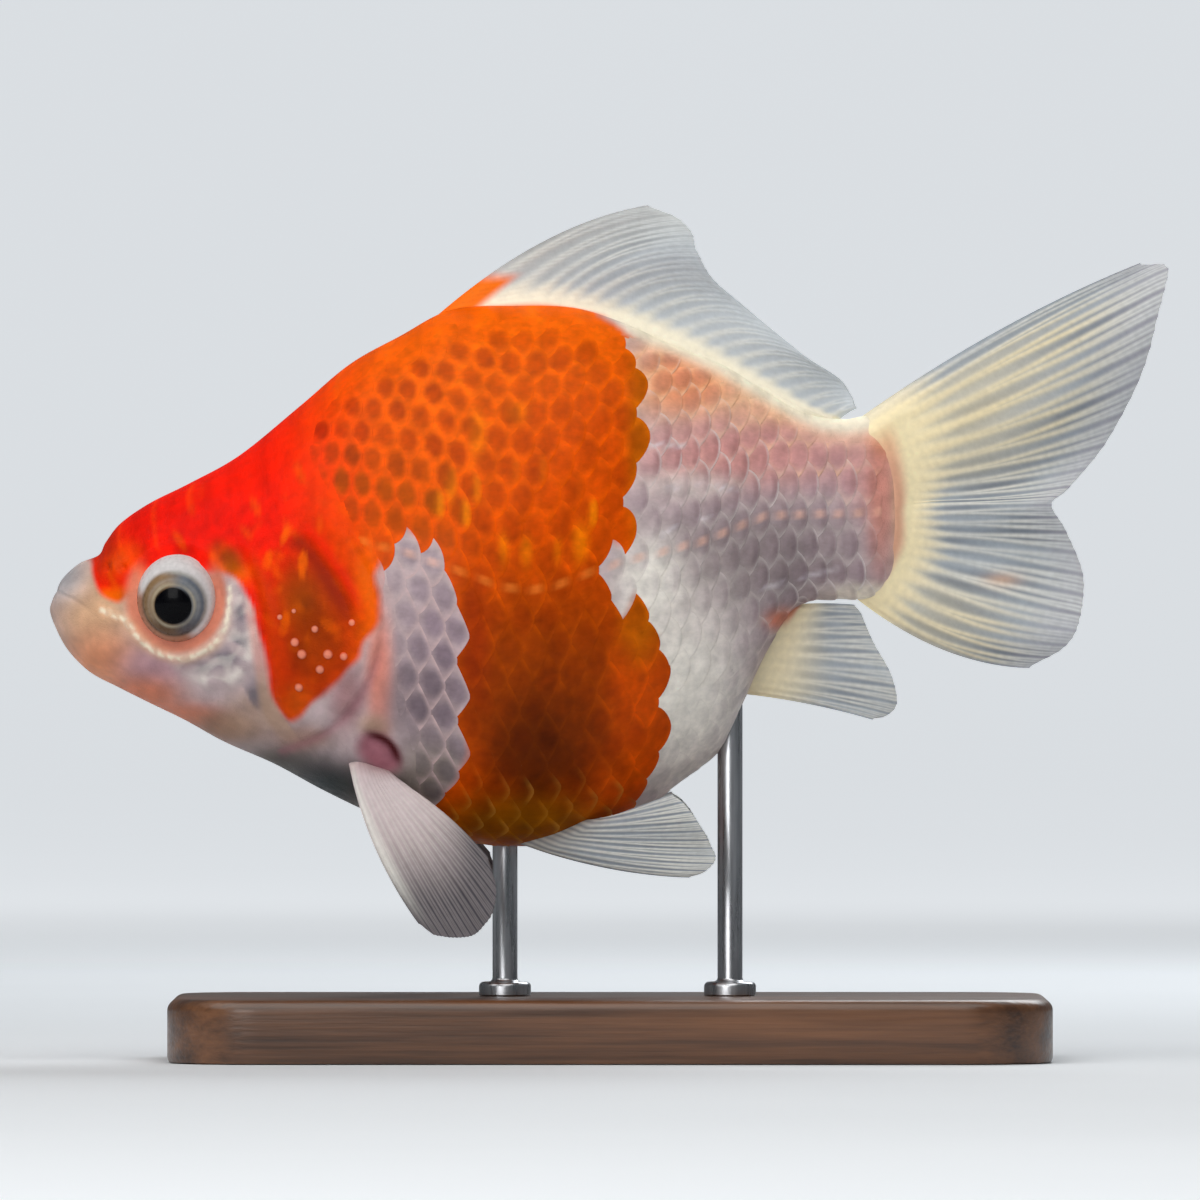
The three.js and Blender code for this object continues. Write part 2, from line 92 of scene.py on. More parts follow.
# The fins' guide rays, from front to rear or from top to bottom: base, bend and tip. The rays of
# the paired fins are on the right side. `seed` is that of the streaks in the membrane. `counts`
# are the bony rays, the steps across each of them and the steps along them.
DORSAL_FIN = {
    "guides": [
        ((-17.0, 0, 74.7), (-5.7, 0, 84.4), (5.2, 0, 85.7)),
        ((-9.0, 0, 75.3), (-2.0, 0, 82.8), (8.0, 0, 83.2)),
        ((-5.0, 0, 75.2), (0.6, 0, 81.1), (8.8, 0, 80.8)),
        ((-1.0, 0, 74.5), (3.8, 0, 79.1), (10.4, 0, 78.1)),
        ((3.0, 0, 73.1), (7.8, 0, 77.2), (13.7, 0, 75.2)),
        ((7.0, 0, 71.4), (11.6, 0, 74.9), (17.5, 0, 72.0)),
        ((11.0, 0, 69.5), (15.4, 0, 72.3), (20.3, 0, 69.8)),
        ((15.0, 0, 67.4), (18.8, 0, 69.4), (23.0, 0, 68.1)),
        ((19.0, 0, 65.1), (21.6, 0, 66.6), (24.2, 0, 66.4)),
        ((22.8, 0, 63.9), (23.9, 0, 64.9), (24.8, 0, 65.2)),
    ],
    "root": 1.9, "flare": 0.9, "wave": 0.7, "ripples": 2.5, "seed": 32,
    "counts": (20, 16, 90),
}
TAIL_FIN = {
    "guides": [
        ((24.8, 0, 64.1), (39.8, 0, 74.7), (54.8, 0, 80.4)),
        ((26.6, 0, 63.2), (40.0, 0, 71.5), (56.0, 0, 79.2)),
        ((27.4, 0, 61.5), (41.0, 0, 66.8), (55.0, 0, 74.5)),
        ((28.0, 0, 59.5), (41.0, 0, 62.0), (53.0, 0, 68.0)),
        ((28.4, 0, 57.5), (40.0, 0, 58.6), (49.5, 0, 61.5)),
        ((28.6, 0, 55.8), (38.0, 0, 56.0), (46.0, 0, 57.3)),
        ((28.6, 0, 54.8), (37.5, 0, 55.4), (44.2, 0, 55.5)),
        ((28.6, 0, 53.5), (38.0, 0, 53.0), (45.8, 0, 52.8)),
        ((28.3, 0, 51.7), (39.0, 0, 50.0), (47.4, 0, 48.5)),
        ((27.6, 0, 50.0), (37.0, 0, 46.3), (47.2, 0, 44.5)),
        ((26.4, 0, 48.0), (34.0, 0, 42.0), (46.0, 0, 41.5)),
        ((24.8, 0, 46.0), (33.9, 0, 39.0), (43.0, 0, 39.2)),
    ],
    "root": 2.3, "flare": 1.5, "wave": 0.9, "ripples": 3.0, "seed": 31,
    "counts": (22, 16, 120),
}
ANAL_FIN = {
    "guides": [
        ((13.4, 0, 36.6), (20.5, 0, 35.8), (27.0, 0, 33.8)),
        ((14.0, 0, 37.8), (21.5, 0, 37.0), (28.7, 0, 35.4)),
        ((14.9, 0, 39.7), (21.5, 0, 39.2), (28.3, 0, 38.4)),
        ((16.0, 0, 41.7), (21.5, 0, 41.5), (26.6, 0, 41.4)),
        ((17.2, 0, 43.7), (21.5, 0, 43.8), (25.5, 0, 43.8)),
        ((18.7, 0, 45.6), (21.8, 0, 45.8), (24.8, 0, 45.5)),
    ],
    "root": 1.6, "flare": 0.8, "wave": 0.3, "ripples": 1.5, "seed": 33,
    "counts": (9, 16, 64),
}
PECTORAL_FIN = {
    "guides": [
        ((-26.2, 11.0, 31.0), (-24.5, 16.0, 21.0), (-18.2, 19.2, 12.9)),
        ((-25.4, 11.2, 30.5), (-21.5, 16.6, 22.0), (-15.5, 19.8, 12.5)),
        ((-24.5, 11.3, 29.9), (-19.0, 17.0, 22.5), (-13.0, 20.2, 13.0)),
        ((-23.6, 11.2, 29.4), (-17.0, 17.2, 24.0), (-11.3, 20.2, 16.0)),
        ((-22.6, 11.0, 28.9), (-16.0, 16.8, 25.5), (-11.5, 19.6, 19.8)),
    ],
    "root": 1.6, "sink": 2.4, "start": -0.06, "wave": 0.25, "ripples": 1.5, "seed": 35,
    "counts": (14, 14, 80),
}
PELVIC_FIN = {
    "guides": [
        ((-9.4, 3.4, 21.8), (0.0, 8.6, 18.4), (9.0, 12.6, 18.4)),
        ((-7.6, 4.4, 22.1), (1.0, 9.6, 20.2), (10.5, 13.6, 20.2)),
        ((-5.7, 5.4, 22.6), (2.0, 10.2, 22.0), (9.8, 13.8, 22.2)),
        ((-3.7, 6.4, 23.2), (2.5, 10.6, 23.8), (8.4, 13.6, 24.5)),
        ((-1.7, 7.2, 23.8), (3.0, 10.8, 25.5), (6.6, 13.0, 26.9)),
    ],
    "root": 1.7, "sink": 1.2, "wave": 0.25, "ripples": 1.5, "seed": 34,
    "counts": (10, 14, 72),
}

EYE_TURN = 0.24  # how far the eyes look forward, in radians


def node_box(name):
    """The lowest and highest corners of a solid, in mm."""
    return [np.array(corner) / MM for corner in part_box(name)]


EYE_LOW, EYE_HIGH = node_box("eye_right")
EYE_CENTRE = (EYE_LOW + EYE_HIGH) / 2 + (0.15, 0, 0)
EYE_RADII = np.array([4.1, 3.5, 4.4])

# ---------------------------------------------------------------- curves


def through(values, t):
    """Uniform Catmull-Rom values at t, from 0 to 1, along a list of numbers or points."""
    values = np.asarray(values, float)
    t = np.asarray(t, float)
    last = len(values) - 1
    place = np.clip(t, 0, 1) * last
    i = np.minimum(place.astype(int), last - 1)
    f = (place - i).reshape(t.shape + (1,) * (values.ndim - 1))
    ends = (2 * values[:1] - values[1:2], 2 * values[-1:] - values[-2:-1])
    padded = np.concatenate([ends[0], values, ends[1]])
    a, b, c, d = (padded[i + k] for k in range(4))
    slope_b = (c - a) / 2
    slope_c = (d - b) / 2
    rise = c - b
    turn = 3 * rise - 2 * slope_b - slope_c
    return b + f * (slope_b + f * (turn + f * (slope_b + slope_c - 2 * rise)))


def turns(count):
    """Angles all the way round in equal steps."""
    return np.arange(count) * 2 * math.pi / count


def curve(points, steps):
    """A Catmull-Rom curve through points, as a list of corners."""
    return through(points, np.linspace(0, 1, steps))


def closed_curve(points, steps=5):
    """A closed Catmull-Rom curve through points, as a list of corners."""
    points = np.asarray(points, float)
    ring = np.concatenate([points[-2:], points, points[:3]])
    count = len(points)
    t = (2 + np.arange(count * steps) / steps) / (len(ring) - 1)
    return through(ring, t)


def smooth(value, low, high):
    """0 below low and 1 above high, with an S-shaped rise between them; low may be the larger."""
    share = np.clip((value - low) / (high - low), 0, 1)
    return share * share * (3 - 2 * share)


def between(value, low, low_full, high_full, high):
    """1 from low_full to high_full and 0 outside low and high."""
    return smooth(value, low, low_full) * smooth(value, high, high_full)


def bell(distance, width):
    """1 at no distance, falling to nearly 0 at twice the width."""
    return np.exp(-(distance / width) ** 2)


def spot(x, z, middle, reach):
    """A soft oval that is 1 in its middle and fades out past its reach."""
    return bell(np.hypot((x - middle[0]) / reach[0], (z - middle[1]) / reach[1]), 1.0)


def line_distance(x, z, line, closed=False):
    """Signed distance from an [x, z] line, positive on its left, and the share of it passed."""
    line = np.asarray(line, float)
    starts = line if closed else line[:-1]
    ends = np.roll(line, -1, axis=0) if closed else line[1:]
    nearest = np.full(x.shape, np.inf)
    signed = np.zeros(x.shape)
    share = np.zeros(x.shape)
    for i, (start, end) in enumerate(zip(starts, ends)):
        step = end - start
        off_x, off_z = x - start[0], z - start[1]
        passed = np.clip((off_x * step[0] + off_z * step[1]) / (step @ step), 0, 1)
        distance = np.hypot(off_x - passed * step[0], off_z - passed * step[1])
        closer = distance < nearest
        left = step[0] * off_z - step[1] * off_x
        nearest = np.where(closer, distance, nearest)
        signed = np.where(closer, distance * np.where(left < 0, -1, 1), signed)
        share = np.where(closer, (i + passed) / len(starts), share)
    return signed, share


def depth_inside(x, z, outline):
    """How far inside a closed [x, z] outline a point lies, and less than 0 outside it."""
    corners = np.asarray(outline, float)
    inside = np.zeros(x.shape, bool)
    for (x1, z1), (x2, z2) in zip(corners, np.roll(corners, -1, axis=0)):
        if z1 != z2:
            crossing = x1 + (z - z1) * (x2 - x1) / (z2 - z1)
            inside ^= ((z1 > z) != (z2 > z)) & (x < crossing)
    distance = np.abs(line_distance(x, z, corners, closed=True)[0])
    return np.where(inside, distance, -distance)


def mottle(x, z, size, seed):
    """A smooth irregular pattern between about -1 and 1, with patches of the given size."""
    random = np.random.default_rng(seed)
    total = np.zeros(np.shape(x))
    waves = 7
    for _ in range(waves):
        heading, phase = random.uniform(0, 2 * math.pi, 2)
        length = size * random.uniform(1.4, 3.2)
        along = x * math.cos(heading) + z * math.sin(heading)
        total = total + np.sin(along * 2 * math.pi / length + phase)
    return total / math.sqrt(waves)


# ---------------------------------------------------------------- the flesh's surface


def body_point(t, angle):
    """A point of the flesh: t runs from the lips to the tail, angle from the back over the right."""
    row = through(SECTIONS, t)
    back, belly = row[..., 0:2], row[..., 2:4]
    half, ridge, keel = (row[..., k] for k in (4, 5, 6))
    middle = (back + belly) / 2
    rise = (back - belly) / 2
    sine, cosine = np.sin(angle), np.cos(angle)
    out = np.maximum(half, 0) * np.abs(sine) ** np.where(cosine > 0, ridge, keel) * np.sign(sine)
    up = cosine - WIDEST_DROP * sine ** 2
    return np.stack([middle[..., 0] + rise[..., 0] * up, out, middle[..., 1] + rise[..., 1] * up], -1)


def back_height(x):
    """The height of the back's ridge."""
    return np.interp(x, SECTIONS[4:, 0], SECTIONS[4:, 1])


def unit(vectors):
    """The vectors' directions, each of length 1."""
    return vectors / np.maximum(np.linalg.norm(vectors, axis=-1, keepdims=True), 1e-9)


LATERAL_LINE = np.array([
    (-27.0, 52.4), (-21.3, 51.0), (-16.2, 49.4), (-11.3, 47.4), (-8.7, 47.0), (-6.0, 47.2),
    (2.0, 50.0), (9.8, 52.1), (15.7, 54.4), (28.5, 54.8),
])


class Flank:
    """One side of the flesh, laid out by x and by the distance up from the lateral line."""

    STEP = 0.2
    OVER = 0.7  # how far the layout goes on past the middle plane, in radians
    ANGLES, PLACES = 321, 700  # how finely the flesh is sampled round it and along it

    def __init__(self, side):
        self.side = side
        self.x = np.arange(-38, 29.2, self.STEP)
        self.rise = np.arange(-46, 46, self.STEP)
        angles = np.linspace(-self.OVER, math.pi + self.OVER, self.ANGLES)
        t = np.linspace(0, 1, self.PLACES)
        place = np.stack([np.interp(self.x, body_point(t, a)[:, 0], t) for a in angles], 1)
        surface = body_point(place, angles[None, :])
        lengths = np.hypot(*np.moveaxis(np.diff(surface[..., 1:], axis=1), -1, 0))
        passed = np.concatenate([np.zeros((len(self.x), 1)), np.cumsum(lengths, 1)], 1)
        flank = (angles >= 0) & (angles <= math.pi)
        line = np.interp(self.x, LATERAL_LINE[:, 0], LATERAL_LINE[:, 1])
        table = []
        limits = []
        for i, height in enumerate(line):
            zero = np.interp(-height, -surface[i, flank, 2], passed[i, flank])
            rise = (zero - passed[i])[::-1]
            y, z = (np.interp(self.rise, rise, surface[i, ::-1, axis]) for axis in (1, 2))
            table.append(np.stack([np.full(len(self.rise), self.x[i]), side * y, z], -1))
            limits.append([zero - np.interp(a, angles, passed[i]) for a in (math.pi, 0)])
        self.points = np.array(table)
        self.belly, self.back = np.array(limits).T
        along, up = np.gradient(self.points, self.STEP, axis=(0, 1))
        self.normals = unit(-side * np.cross(along, up))

    def lookup(self, table, x, rise):
        """Values of a table over the layout, between its points."""
        i = np.clip((x - self.x[0]) / self.STEP, 0, len(self.x) - 1.001)
        j = np.clip((rise - self.rise[0]) / self.STEP, 0, len(self.rise) - 1.001)
        low_i, low_j = i.astype(int), j.astype(int)
        f, g = (i - low_i)[..., None], (j - low_j)[..., None]
        front = table[low_i, low_j] * (1 - g) + table[low_i, low_j + 1] * g
        rear = table[low_i + 1, low_j] * (1 - g) + table[low_i + 1, low_j + 1] * g
        return front * (1 - f) + rear * f

    def rise_at(self, x, z):
        """The distance up from the lateral line at which the flank at x has the height z."""
        heights = self.points[int((x - self.x[0]) / self.STEP), :, 2]
        flank = (self.rise > self.belly.min()) & (np.gradient(heights) > 1e-4)
        return np.interp(z, heights[flank], self.rise[flank])

    def at(self, x, rise):
        """Points of the surface and the directions straight out from it."""
        return self.lookup(self.points, x, rise), unit(self.lookup(self.normals, x, rise))


# ---------------------------------------------------------------- markings


def srgb(red, green, blue):
    """A linear colour from display values up to 255."""
    value = np.array([red, green, blue]) / 255
    return np.where(value <= 0.04045, value / 12.92, ((value + 0.055) / 1.055) ** 2.4)


SCARLET = srgb(252, 26, 2)
CRIMSON = srgb(224, 14, 5)
RUST = srgb(188, 40, 8)
ORANGE = srgb(255, 106, 0)
DEEP_ORANGE = srgb(236, 86, 0)
BURNT_ORANGE = srgb(162, 63, 0)
AMBER = srgb(255, 132, 0)
AMBER_GLINT = srgb(255, 136, 2)
GOLD = srgb(196, 106, 0)
BRICK = srgb(140, 26, 3)
GILL_BROWN = srgb(158, 56, 0)
GILL_ORANGE = srgb(204, 84, 6)
GILL_RED = srgb(210, 60, 0)
OLIVE_BROWN = srgb(128, 76, 2)
BELLY_OLIVE = srgb(150, 88, 0)
UMBER = srgb(98, 38, 1)
RIM_GOLD = srgb(196, 132, 52)
PEARL = srgb(196, 176, 178)
LILAC = srgb(174, 152, 158)
DUSK_LILAC = srgb(134, 118, 124)
PINK_LILAC = srgb(186, 144, 152)
WHITE = srgb(246, 240, 229)
CREAM = srgb(255, 246, 222)
PEACH = srgb(255, 200, 154)
APRICOT = srgb(238, 152, 108)
STEM_ROSE = srgb(216, 140, 122)
SNOUT_CREAM = srgb(210, 168, 134)
SNOUT_RIM_HIGHLIGHT = srgb(168, 168, 174)
CHIN_PEACH = srgb(226, 146, 104)
SALMON = srgb(226, 134, 104)
ROSE = srgb(222, 160, 151)
BLUSH = srgb(236, 142, 118)
SLATE = srgb(106, 102, 114)
PIT_SHADE_MAROON = srgb(70, 12, 16)
MAUVE = srgb(168, 108, 120)
MEMBRANE = srgb(166, 124, 126)
BEIGE = srgb(186, 152, 128)
THROAT = srgb(212, 122, 88)
THROAT_BROWN = srgb(148, 108, 84)
CHEST_SHADE_STONE = srgb(96, 88, 80)
STONE = srgb(138, 128, 118)
ASH = srgb(157, 143, 143)
CHEST_SHADE_GREY = srgb(52, 60, 62)
GLINT = srgb(232, 224, 228)

# The red and orange marking of the left side, round the head and the saddle, [x, z].
ORANGE_OUTLINE = closed_curve([
    (-51.6, 54.0), (-51.7, 49.5), (-50.9, 46.7), (-49.2, 45.8), (-47.6, 46.6), (-46.6, 47.8),
    (-43.0, 48.0), (-39.8, 48.6), (-37.2, 47.8), (-35.9, 45.6), (-34.6, 41.0), (-33.6, 36.2),
    (-31.9, 33.7), (-29.0, 36.2), (-26.2, 38.6), (-24.3, 41.6), (-22.9, 43.8), (-22.7, 46.4),
    (-23.0, 49.0), (-21.0, 52.3), (-19.0, 52.0), (-18.0, 53.0), (-16.3, 50.0), (-14.8, 47.0),
    (-13.2, 43.5), (-14.6, 40.0), (-12.8, 36.0), (-14.5, 32.5), (-15.4, 28.5), (-17.0, 25.7),
    (-17.5, 18.0), (-5.0, 18.0), (-4.5, 22.8), (-0.8, 23.6), (3.0, 25.7), (4.2, 28.5), (5.8, 31.5),
    (4.5, 35.5), (5.8, 39.8), (4.6, 43.6), (2.8, 47.0), (0.6, 46.2), (0.0, 50.0), (1.6, 51.6),
    (2.3, 55.0), (1.6, 58.0), (3.7, 60.5), (3.6, 66.0), (3.2, 70.6), (1.4, 73.0), (-1.6, 75.2),
    (-4.0, 80.0), (-40.0, 80.0),
])
# Blots of colour on the red and orange parts and on the pale parts: the tint, the middle (x, z),
# the reach (x, z) and the strength.
ORANGE_BLOTS = [
    (CRIMSON, (-41.5, 53.5), (8.0, 3.4), 0.6),
    (RUST, (-50.6, 51.0), (2.6, 3.4), 0.8),
    (ORANGE, (-4.0, 68.0), (21.0, 12.0), 1.0),
    (DEEP_ORANGE, (-2.0, 60.0), (9.0, 8.0), 0.8),
    # The burnt orange, umber and belly olive blots darken the lower flank: partly its own pigment,
    # partly painted shade under the body.
    (BURNT_ORANGE, (-5.0, 38.0), (15.0, 11.5), 1.0),
    (DEEP_ORANGE, (2.6, 38.0), (2.6, 8.0), 0.7),
    (GOLD, (3.0, 43.0), (2.2, 3.4), 0.7),
    (BRICK, (-13.4, 42.0), (1.6, 7.0), 0.5),
    (UMBER, (-7.0, 30.0), (6.4, 7.5), 0.95),
    (BELLY_OLIVE, (-9.0, 23.4), (10.5, 3.0), 0.95),
    (GOLD, (3.3, 62.0), (1.6, 14.0), 0.75),
    # The seven small amber blots that follow are painted glints on the flank's scales.
    (AMBER, (-13.2, 62.6), (0.8, 2.4), 0.6),
    (AMBER, (-9.3, 64.8), (1.2, 1.1), 0.5),
    (AMBER, (-15.9, 57.2), (0.6, 1.6), 0.6),
    (AMBER, (-10.6, 51.2), (0.5, 1.7), 0.6),
    (AMBER, (-8.3, 50.8), (0.6, 1.5), 0.7),
    (AMBER, (-5.2, 50.9), (0.4, 1.3), 0.5),
    (AMBER, (-2.9, 51.8), (0.8, 2.0), 0.8),
    (ORANGE, (-24.1, 46.4), (1.3, 5.5), 0.75),
    (GILL_BROWN, (-29.6, 43.0), (4.2, 8.5), 0.95),
    (OLIVE_BROWN, (-31.4, 46.6), (2.2, 2.6), 0.35),
    (GILL_ORANGE, (-31.6, 35.6), (2.4, 2.2), 0.8),
    (AMBER, (-37.2, 48.7), (1.8, 1.0), 0.45),
    (OLIVE_BROWN, (-37.7, 49.8), (1.2, 1.3), 0.75),
    (OLIVE_BROWN, (-38.8, 50.9), (1.1, 1.0), 0.45),
    (ORANGE, (-48.9, 46.3), (1.9, 1.0), 0.9),
    (ORANGE, (-47.9, 50.3), (1.5, 1.5), 0.3),
]
PALE_BLOTS = [
    (SNOUT_CREAM, (-51.5, 45.0), (4.6, 5.6), 1.0),
    # A painted rim highlight along the front edge of the snout.
    (SNOUT_RIM_HIGHLIGHT, (-55.2, 48.6), (3.2, 3.0), 0.9),
    (CHIN_PEACH, (-50.6, 39.4), (4.6, 3.6), 0.9),
    (PINK_LILAC, (-45.4, 39.4), (3.6, 2.2), 0.9),
    (THROAT, (-46.6, 36.4), (4.2, 2.0), 0.95),
    (THROAT, (-42.6, 34.4), (4.4, 1.5), 0.9),
    # The throat brown blots are partly the throat's own tone and partly painted shade on its underside;
    # the chest stone and chest grey blots are painted shade under the body.
    (THROAT_BROWN, (-38.6, 33.2), (3.4, 1.8), 0.9),
    (BEIGE, (-35.8, 34.4), (3.0, 2.6), 0.7),
    (CHEST_SHADE_STONE, (-33.4, 29.4), (4.6, 2.4), 0.95),
    (CHEST_SHADE_GREY, (-28.0, 27.0), (6.6, 3.8), 1.0),
    (CHEST_SHADE_STONE, (-20.6, 25.2), (5.4, 3.8), 0.95),
    (THROAT_BROWN, (-30.6, 32.4), (3.2, 1.4), 0.65),
    (MEMBRANE, (-26.0, 36.6), (1.9, 3.6), 0.9),
    (BLUSH, (-22.8, 38.6), (1.4, 6.4), 0.9),
    (BEIGE, (-23.4, 33.6), (1.6, 1.2), 0.8),
    (LILAC, (-17.0, 41.5), (4.0, 6.0), 0.7),
    (DUSK_LILAC, (-18.6, 36.0), (4.0, 4.6), 0.9),
    (STONE, (-17.6, 29.2), (3.6, 3.0), 0.8),
    (PEACH, (8.6, 68.6), (8.5, 5.0), 1.0),
    (APRICOT, (7.4, 68.0), (4.8, 3.8), 0.9),
    (PEACH, (15.6, 64.4), (4.6, 2.2), 0.8),
    (ROSE, (13.5, 60.6), (12.5, 3.8), 0.95),
    (WHITE, (8.0, 57.4), (5.0, 1.4), 0.5),
    (ASH, (14.6, 50.2), (11.0, 5.8), 0.95),
    (WHITE, (7.5, 36.0), (7.0, 11.0), 1.0),
    (WHITE, (4.0, 47.5), (3.6, 5.0), 1.0),
    (ROSE, (25.4, 58.6), (2.6, 4.0), 0.6),
    (STEM_ROSE, (27.1, 56.4), (1.6, 8.0), 0.8),
    (PEACH, (29.6, 56.0), (1.3, 9.0), 1.0),
    (SALMON, (27.6, 62.0), (1.8, 1.8), 0.7),
    (CREAM, (26.0, 46.4), (4.6, 1.2), 0.8),
    (SALMON, (17.2, 44.0), (1.8, 1.2), 0.9),
]
# Painted highlights: silvery streaks along the rows of the rear body, [x, z].
GLINT_LINES = [
    [(1.6, 61.4), (5.0, 61.5), (9.0, 61.2)],
    [(5.0, 57.0), (8.0, 57.5), (14.0, 56.9)],
    [(3.6, 51.4), (7.0, 53.6), (10.6, 54.4)],
    [(14.0, 46.8), (18.0, 47.9), (24.0, 49.4)],
]


def blotted(base, blots, x, z):
    """A base tint with blots of colour laid over it."""
    colour = np.broadcast_to(base, x.shape + (3,))
    for tint, (middle_x, middle_z), (reach_x, reach_z), strength in blots:
        spread = ((x - middle_x) / reach_x) ** 2 + ((z - middle_z) / reach_z) ** 2
        weight = (strength * np.exp(-spread ** 1.5))[..., None]
        colour = colour * (1 - weight) + tint * weight
    return colour


def mixed(first, second, share):
    """The first colour where share is 0 and the second where it is 1."""
    share = np.asarray(share)[..., None]
    return first * (1 - share) + second * share


def layered(colour, layers):
    """Lays tints over a colour one after another, each with its own share."""
    for tint, share in layers:
        colour = mixed(colour, tint, share)
    return colour


def patchy(x, z, size, seed, fill=0.0):
    """Separate patches, 1 inside them; fill raises how much they cover."""
    return smooth(mottle(x, z, size, seed) + fill, -0.25, 0.55)


def orange_depth(x, y, z):
    """How far inside the red and orange marking a point lies. The right side has its own outline."""
    drift = smooth(y, 0.5, 6.0)
    shifted_x = x + drift * (2.0 * np.sin(0.23 * z + 0.4) + 0.8) * smooth(x, -36, -22)
    shifted_z = z + drift * 1.8 * np.sin(0.19 * x + 1.0) * smooth(x, -36, -22)
    return depth_inside(shifted_x, shifted_z, ORANGE_OUTLINE)


def orange_tint(x, z, y=0.0):
    """Scarlet over the head, orange over the back and burnt orange below the lateral line, darker there
    partly as pigment and partly as painted shade under the body.

    y keeps the small patches from running across the back as stripes.
    """
    down = z + 0.6 * np.abs(y)
    colour = blotted(mixed(SCARLET, DEEP_ORANGE, smooth(x, -34, -20)), ORANGE_BLOTS, x, z)
    wear = smooth(mottle(x, 1.2 * down, 1.5, 23), 0.6, 1.6) * smooth(x, -20, -30)
    colour = mixed(colour, ORANGE, 0.32 * wear)
    return colour * (1 + 0.1 * mottle(x, down, 1.6, 3) + 0.05 * mottle(x, down, 0.5, 24))[..., None]


def pale_tint(x, z):
    """Pearl, white and rose with a creamy edge along the back, silvery streaks that are painted
    highlights, and painted shade under the chest and, in part, the throat.
    """
    colour = blotted(PEARL, PALE_BLOTS, x, z)
    below = back_height(x) - z
    along_back = bell(np.maximum(below, 0), 1.3 + 0.9 * smooth(x, 6, 14)) * smooth(x, -1, 3)
    margin = mixed(PEACH, CREAM, smooth(below, 2.6, 0.8))
    colour = mixed(colour, margin, along_back)
    for line in GLINT_LINES:
        distance, along = line_distance(x, z, line)
        ends = between(along, 0, 0.2, 0.8, 1)
        colour = mixed(colour, GLINT, 0.6 * ends * bell(distance, 0.22) * patchy(x, z, 1.2, 21, 0.4))
    return colour * (1 + 0.07 * mottle(x, z, 1.3, 5))[..., None]


# ---------------------------------------------------------------- the head's relief and colours

MOUTH_SLIT = [(-57.0, 47.2), (-55.4, 46.9), (-53.4, 46.0), (-51.8, 44.9)]
CHEEK_FOLD = [(-51.8, 44.9), (-50.4, 43.3), (-49.8, 41.4)]
NOSTRIL = (-49.3, 49.1)
PREOPERCLE = curve([
    (-37.4, 52.0), (-36.1, 49.4), (-34.7, 44.8), (-33.8, 39.0), (-33.2, 35.2), (-31.2, 32.4),
], 16)
GILL_EDGE = curve([
    (-31.5, 56.8), (-28.2, 55.4), (-25.2, 51.5), (-23.1, 47.4), (-22.7, 43.2), (-23.7, 39.2),
    (-25.6, 35.6), (-28.4, 33.0), (-32.5, 31.3),
], 28)
COVER_FOLD = curve([(-31.6, 53.2), (-29.8, 51.4), (-27.6, 48.4), (-25.8, 45.0), (-25.0, 42.4)], 12)
CLEITHRUM = [(-22.7, 46.0), (-22.6, 41.0), (-22.8, 36.0), (-23.6, 33.4)]
AXIL = (-22.9, 30.8)
AXIL_REACH = (2.4, 1.6)  # down to the rear, and across that
FIN_LOBE = (-25.6, 31.2)
FIN_LOBE_REACH = (1.7, 1.8)
# The granular cream line below the eye, the white line round the cheek, and the slate patches
# between them: the middle (x, z) and the reach (x, z).
CREAM_LINE = curve([
    (-50.6, 45.0), (-48.3, 44.0), (-47.1, 42.6), (-45.9, 41.4), (-44.4, 40.6), (-42.4, 40.2),
    (-40.2, 41.0), (-38.9, 42.1), (-38.0, 44.0), (-37.7, 47.2),
], 24)
WHITE_LINE = curve([
    (-43.6, 39.2), (-40.8, 38.1), (-38.2, 37.9), (-36.4, 39.5), (-35.5, 41.8), (-35.4, 44.8),
    (-36.2, 47.2),
], 18)
SLATE_PATCHES = [
    ((-36.7, 44.9), (0.75, 1.6)), ((-36.9, 41.8), (1.0, 0.9)), ((-38.4, 40.2), (1.7, 1.0)),
    ((-41.0, 39.5), (1.6, 0.7)), ((-35.3, 36.6), (1.3, 1.6)),
]
SCALED_AREA = closed_curve([
    (-27.5, 68.0), (-30.6, 63.0), (-30.3, 59.6), (-28.3, 56.6), (-26.2, 53.2), (-24.2, 50.0),
    (-22.8, 46.0), (-22.4, 41.0), (-22.0, 36.0), (-20.4, 31.5), (-20.6, 26.0), (-22.0, 16.0),
    (8.0, 16.0), (24.0, 40.0), (28.0, 47.0), (28.6, 50.0), (27.4, 55.0), (28.4, 59.0), (27.4, 61.6),
    (24.0, 62.2), (20.0, 63.4), (14.0, 67.4), (4.0, 74.0), (-8.0, 79.0), (-20.0, 78.0),
])
COAT_DEPTH = 0.26  # how far the skin lies under the tips of the scales


def eye_polar(x, z):
    """Distance from the eye's middle, 1 at its rim, and the heading, 0 rearwards and up positive."""
    off_x = (x - EYE_CENTRE[0]) / EYE_RADII[0]
    off_z = (z - EYE_CENTRE[2]) / EYE_RADII[2]
    return np.hypot(off_x, off_z), np.arctan2(off_z, off_x)


def coat_depth(x, z):
    """How far the skin sinks, so that the scales over it end at the solids' own surface."""
    inside = smooth(depth_inside(x, z, SCALED_AREA), -0.4, 3.4)
    off_back = smooth(back_height(x) - z, 0.6, 3.0)
    return COAT_DEPTH * inside * off_back


def mouth_relief(x, z):
    """Closed lips: a faint slit that fades out towards the front and the corner."""
    slit, along = line_distance(x, z, MOUTH_SLIT)
    fade = between(along, 0.2, 0.5, 0.75, 1.0)
    lips = 0.04 * bell(slit - 0.8, 0.6) + 0.05 * bell(slit + 0.8, 0.6) - 0.14 * bell(slit, 0.26)
    fold, along = line_distance(x, z, CHEEK_FOLD)
    return fade * lips - 0.1 * smooth(along, 1.0, 0.5) * bell(fold, 0.6)


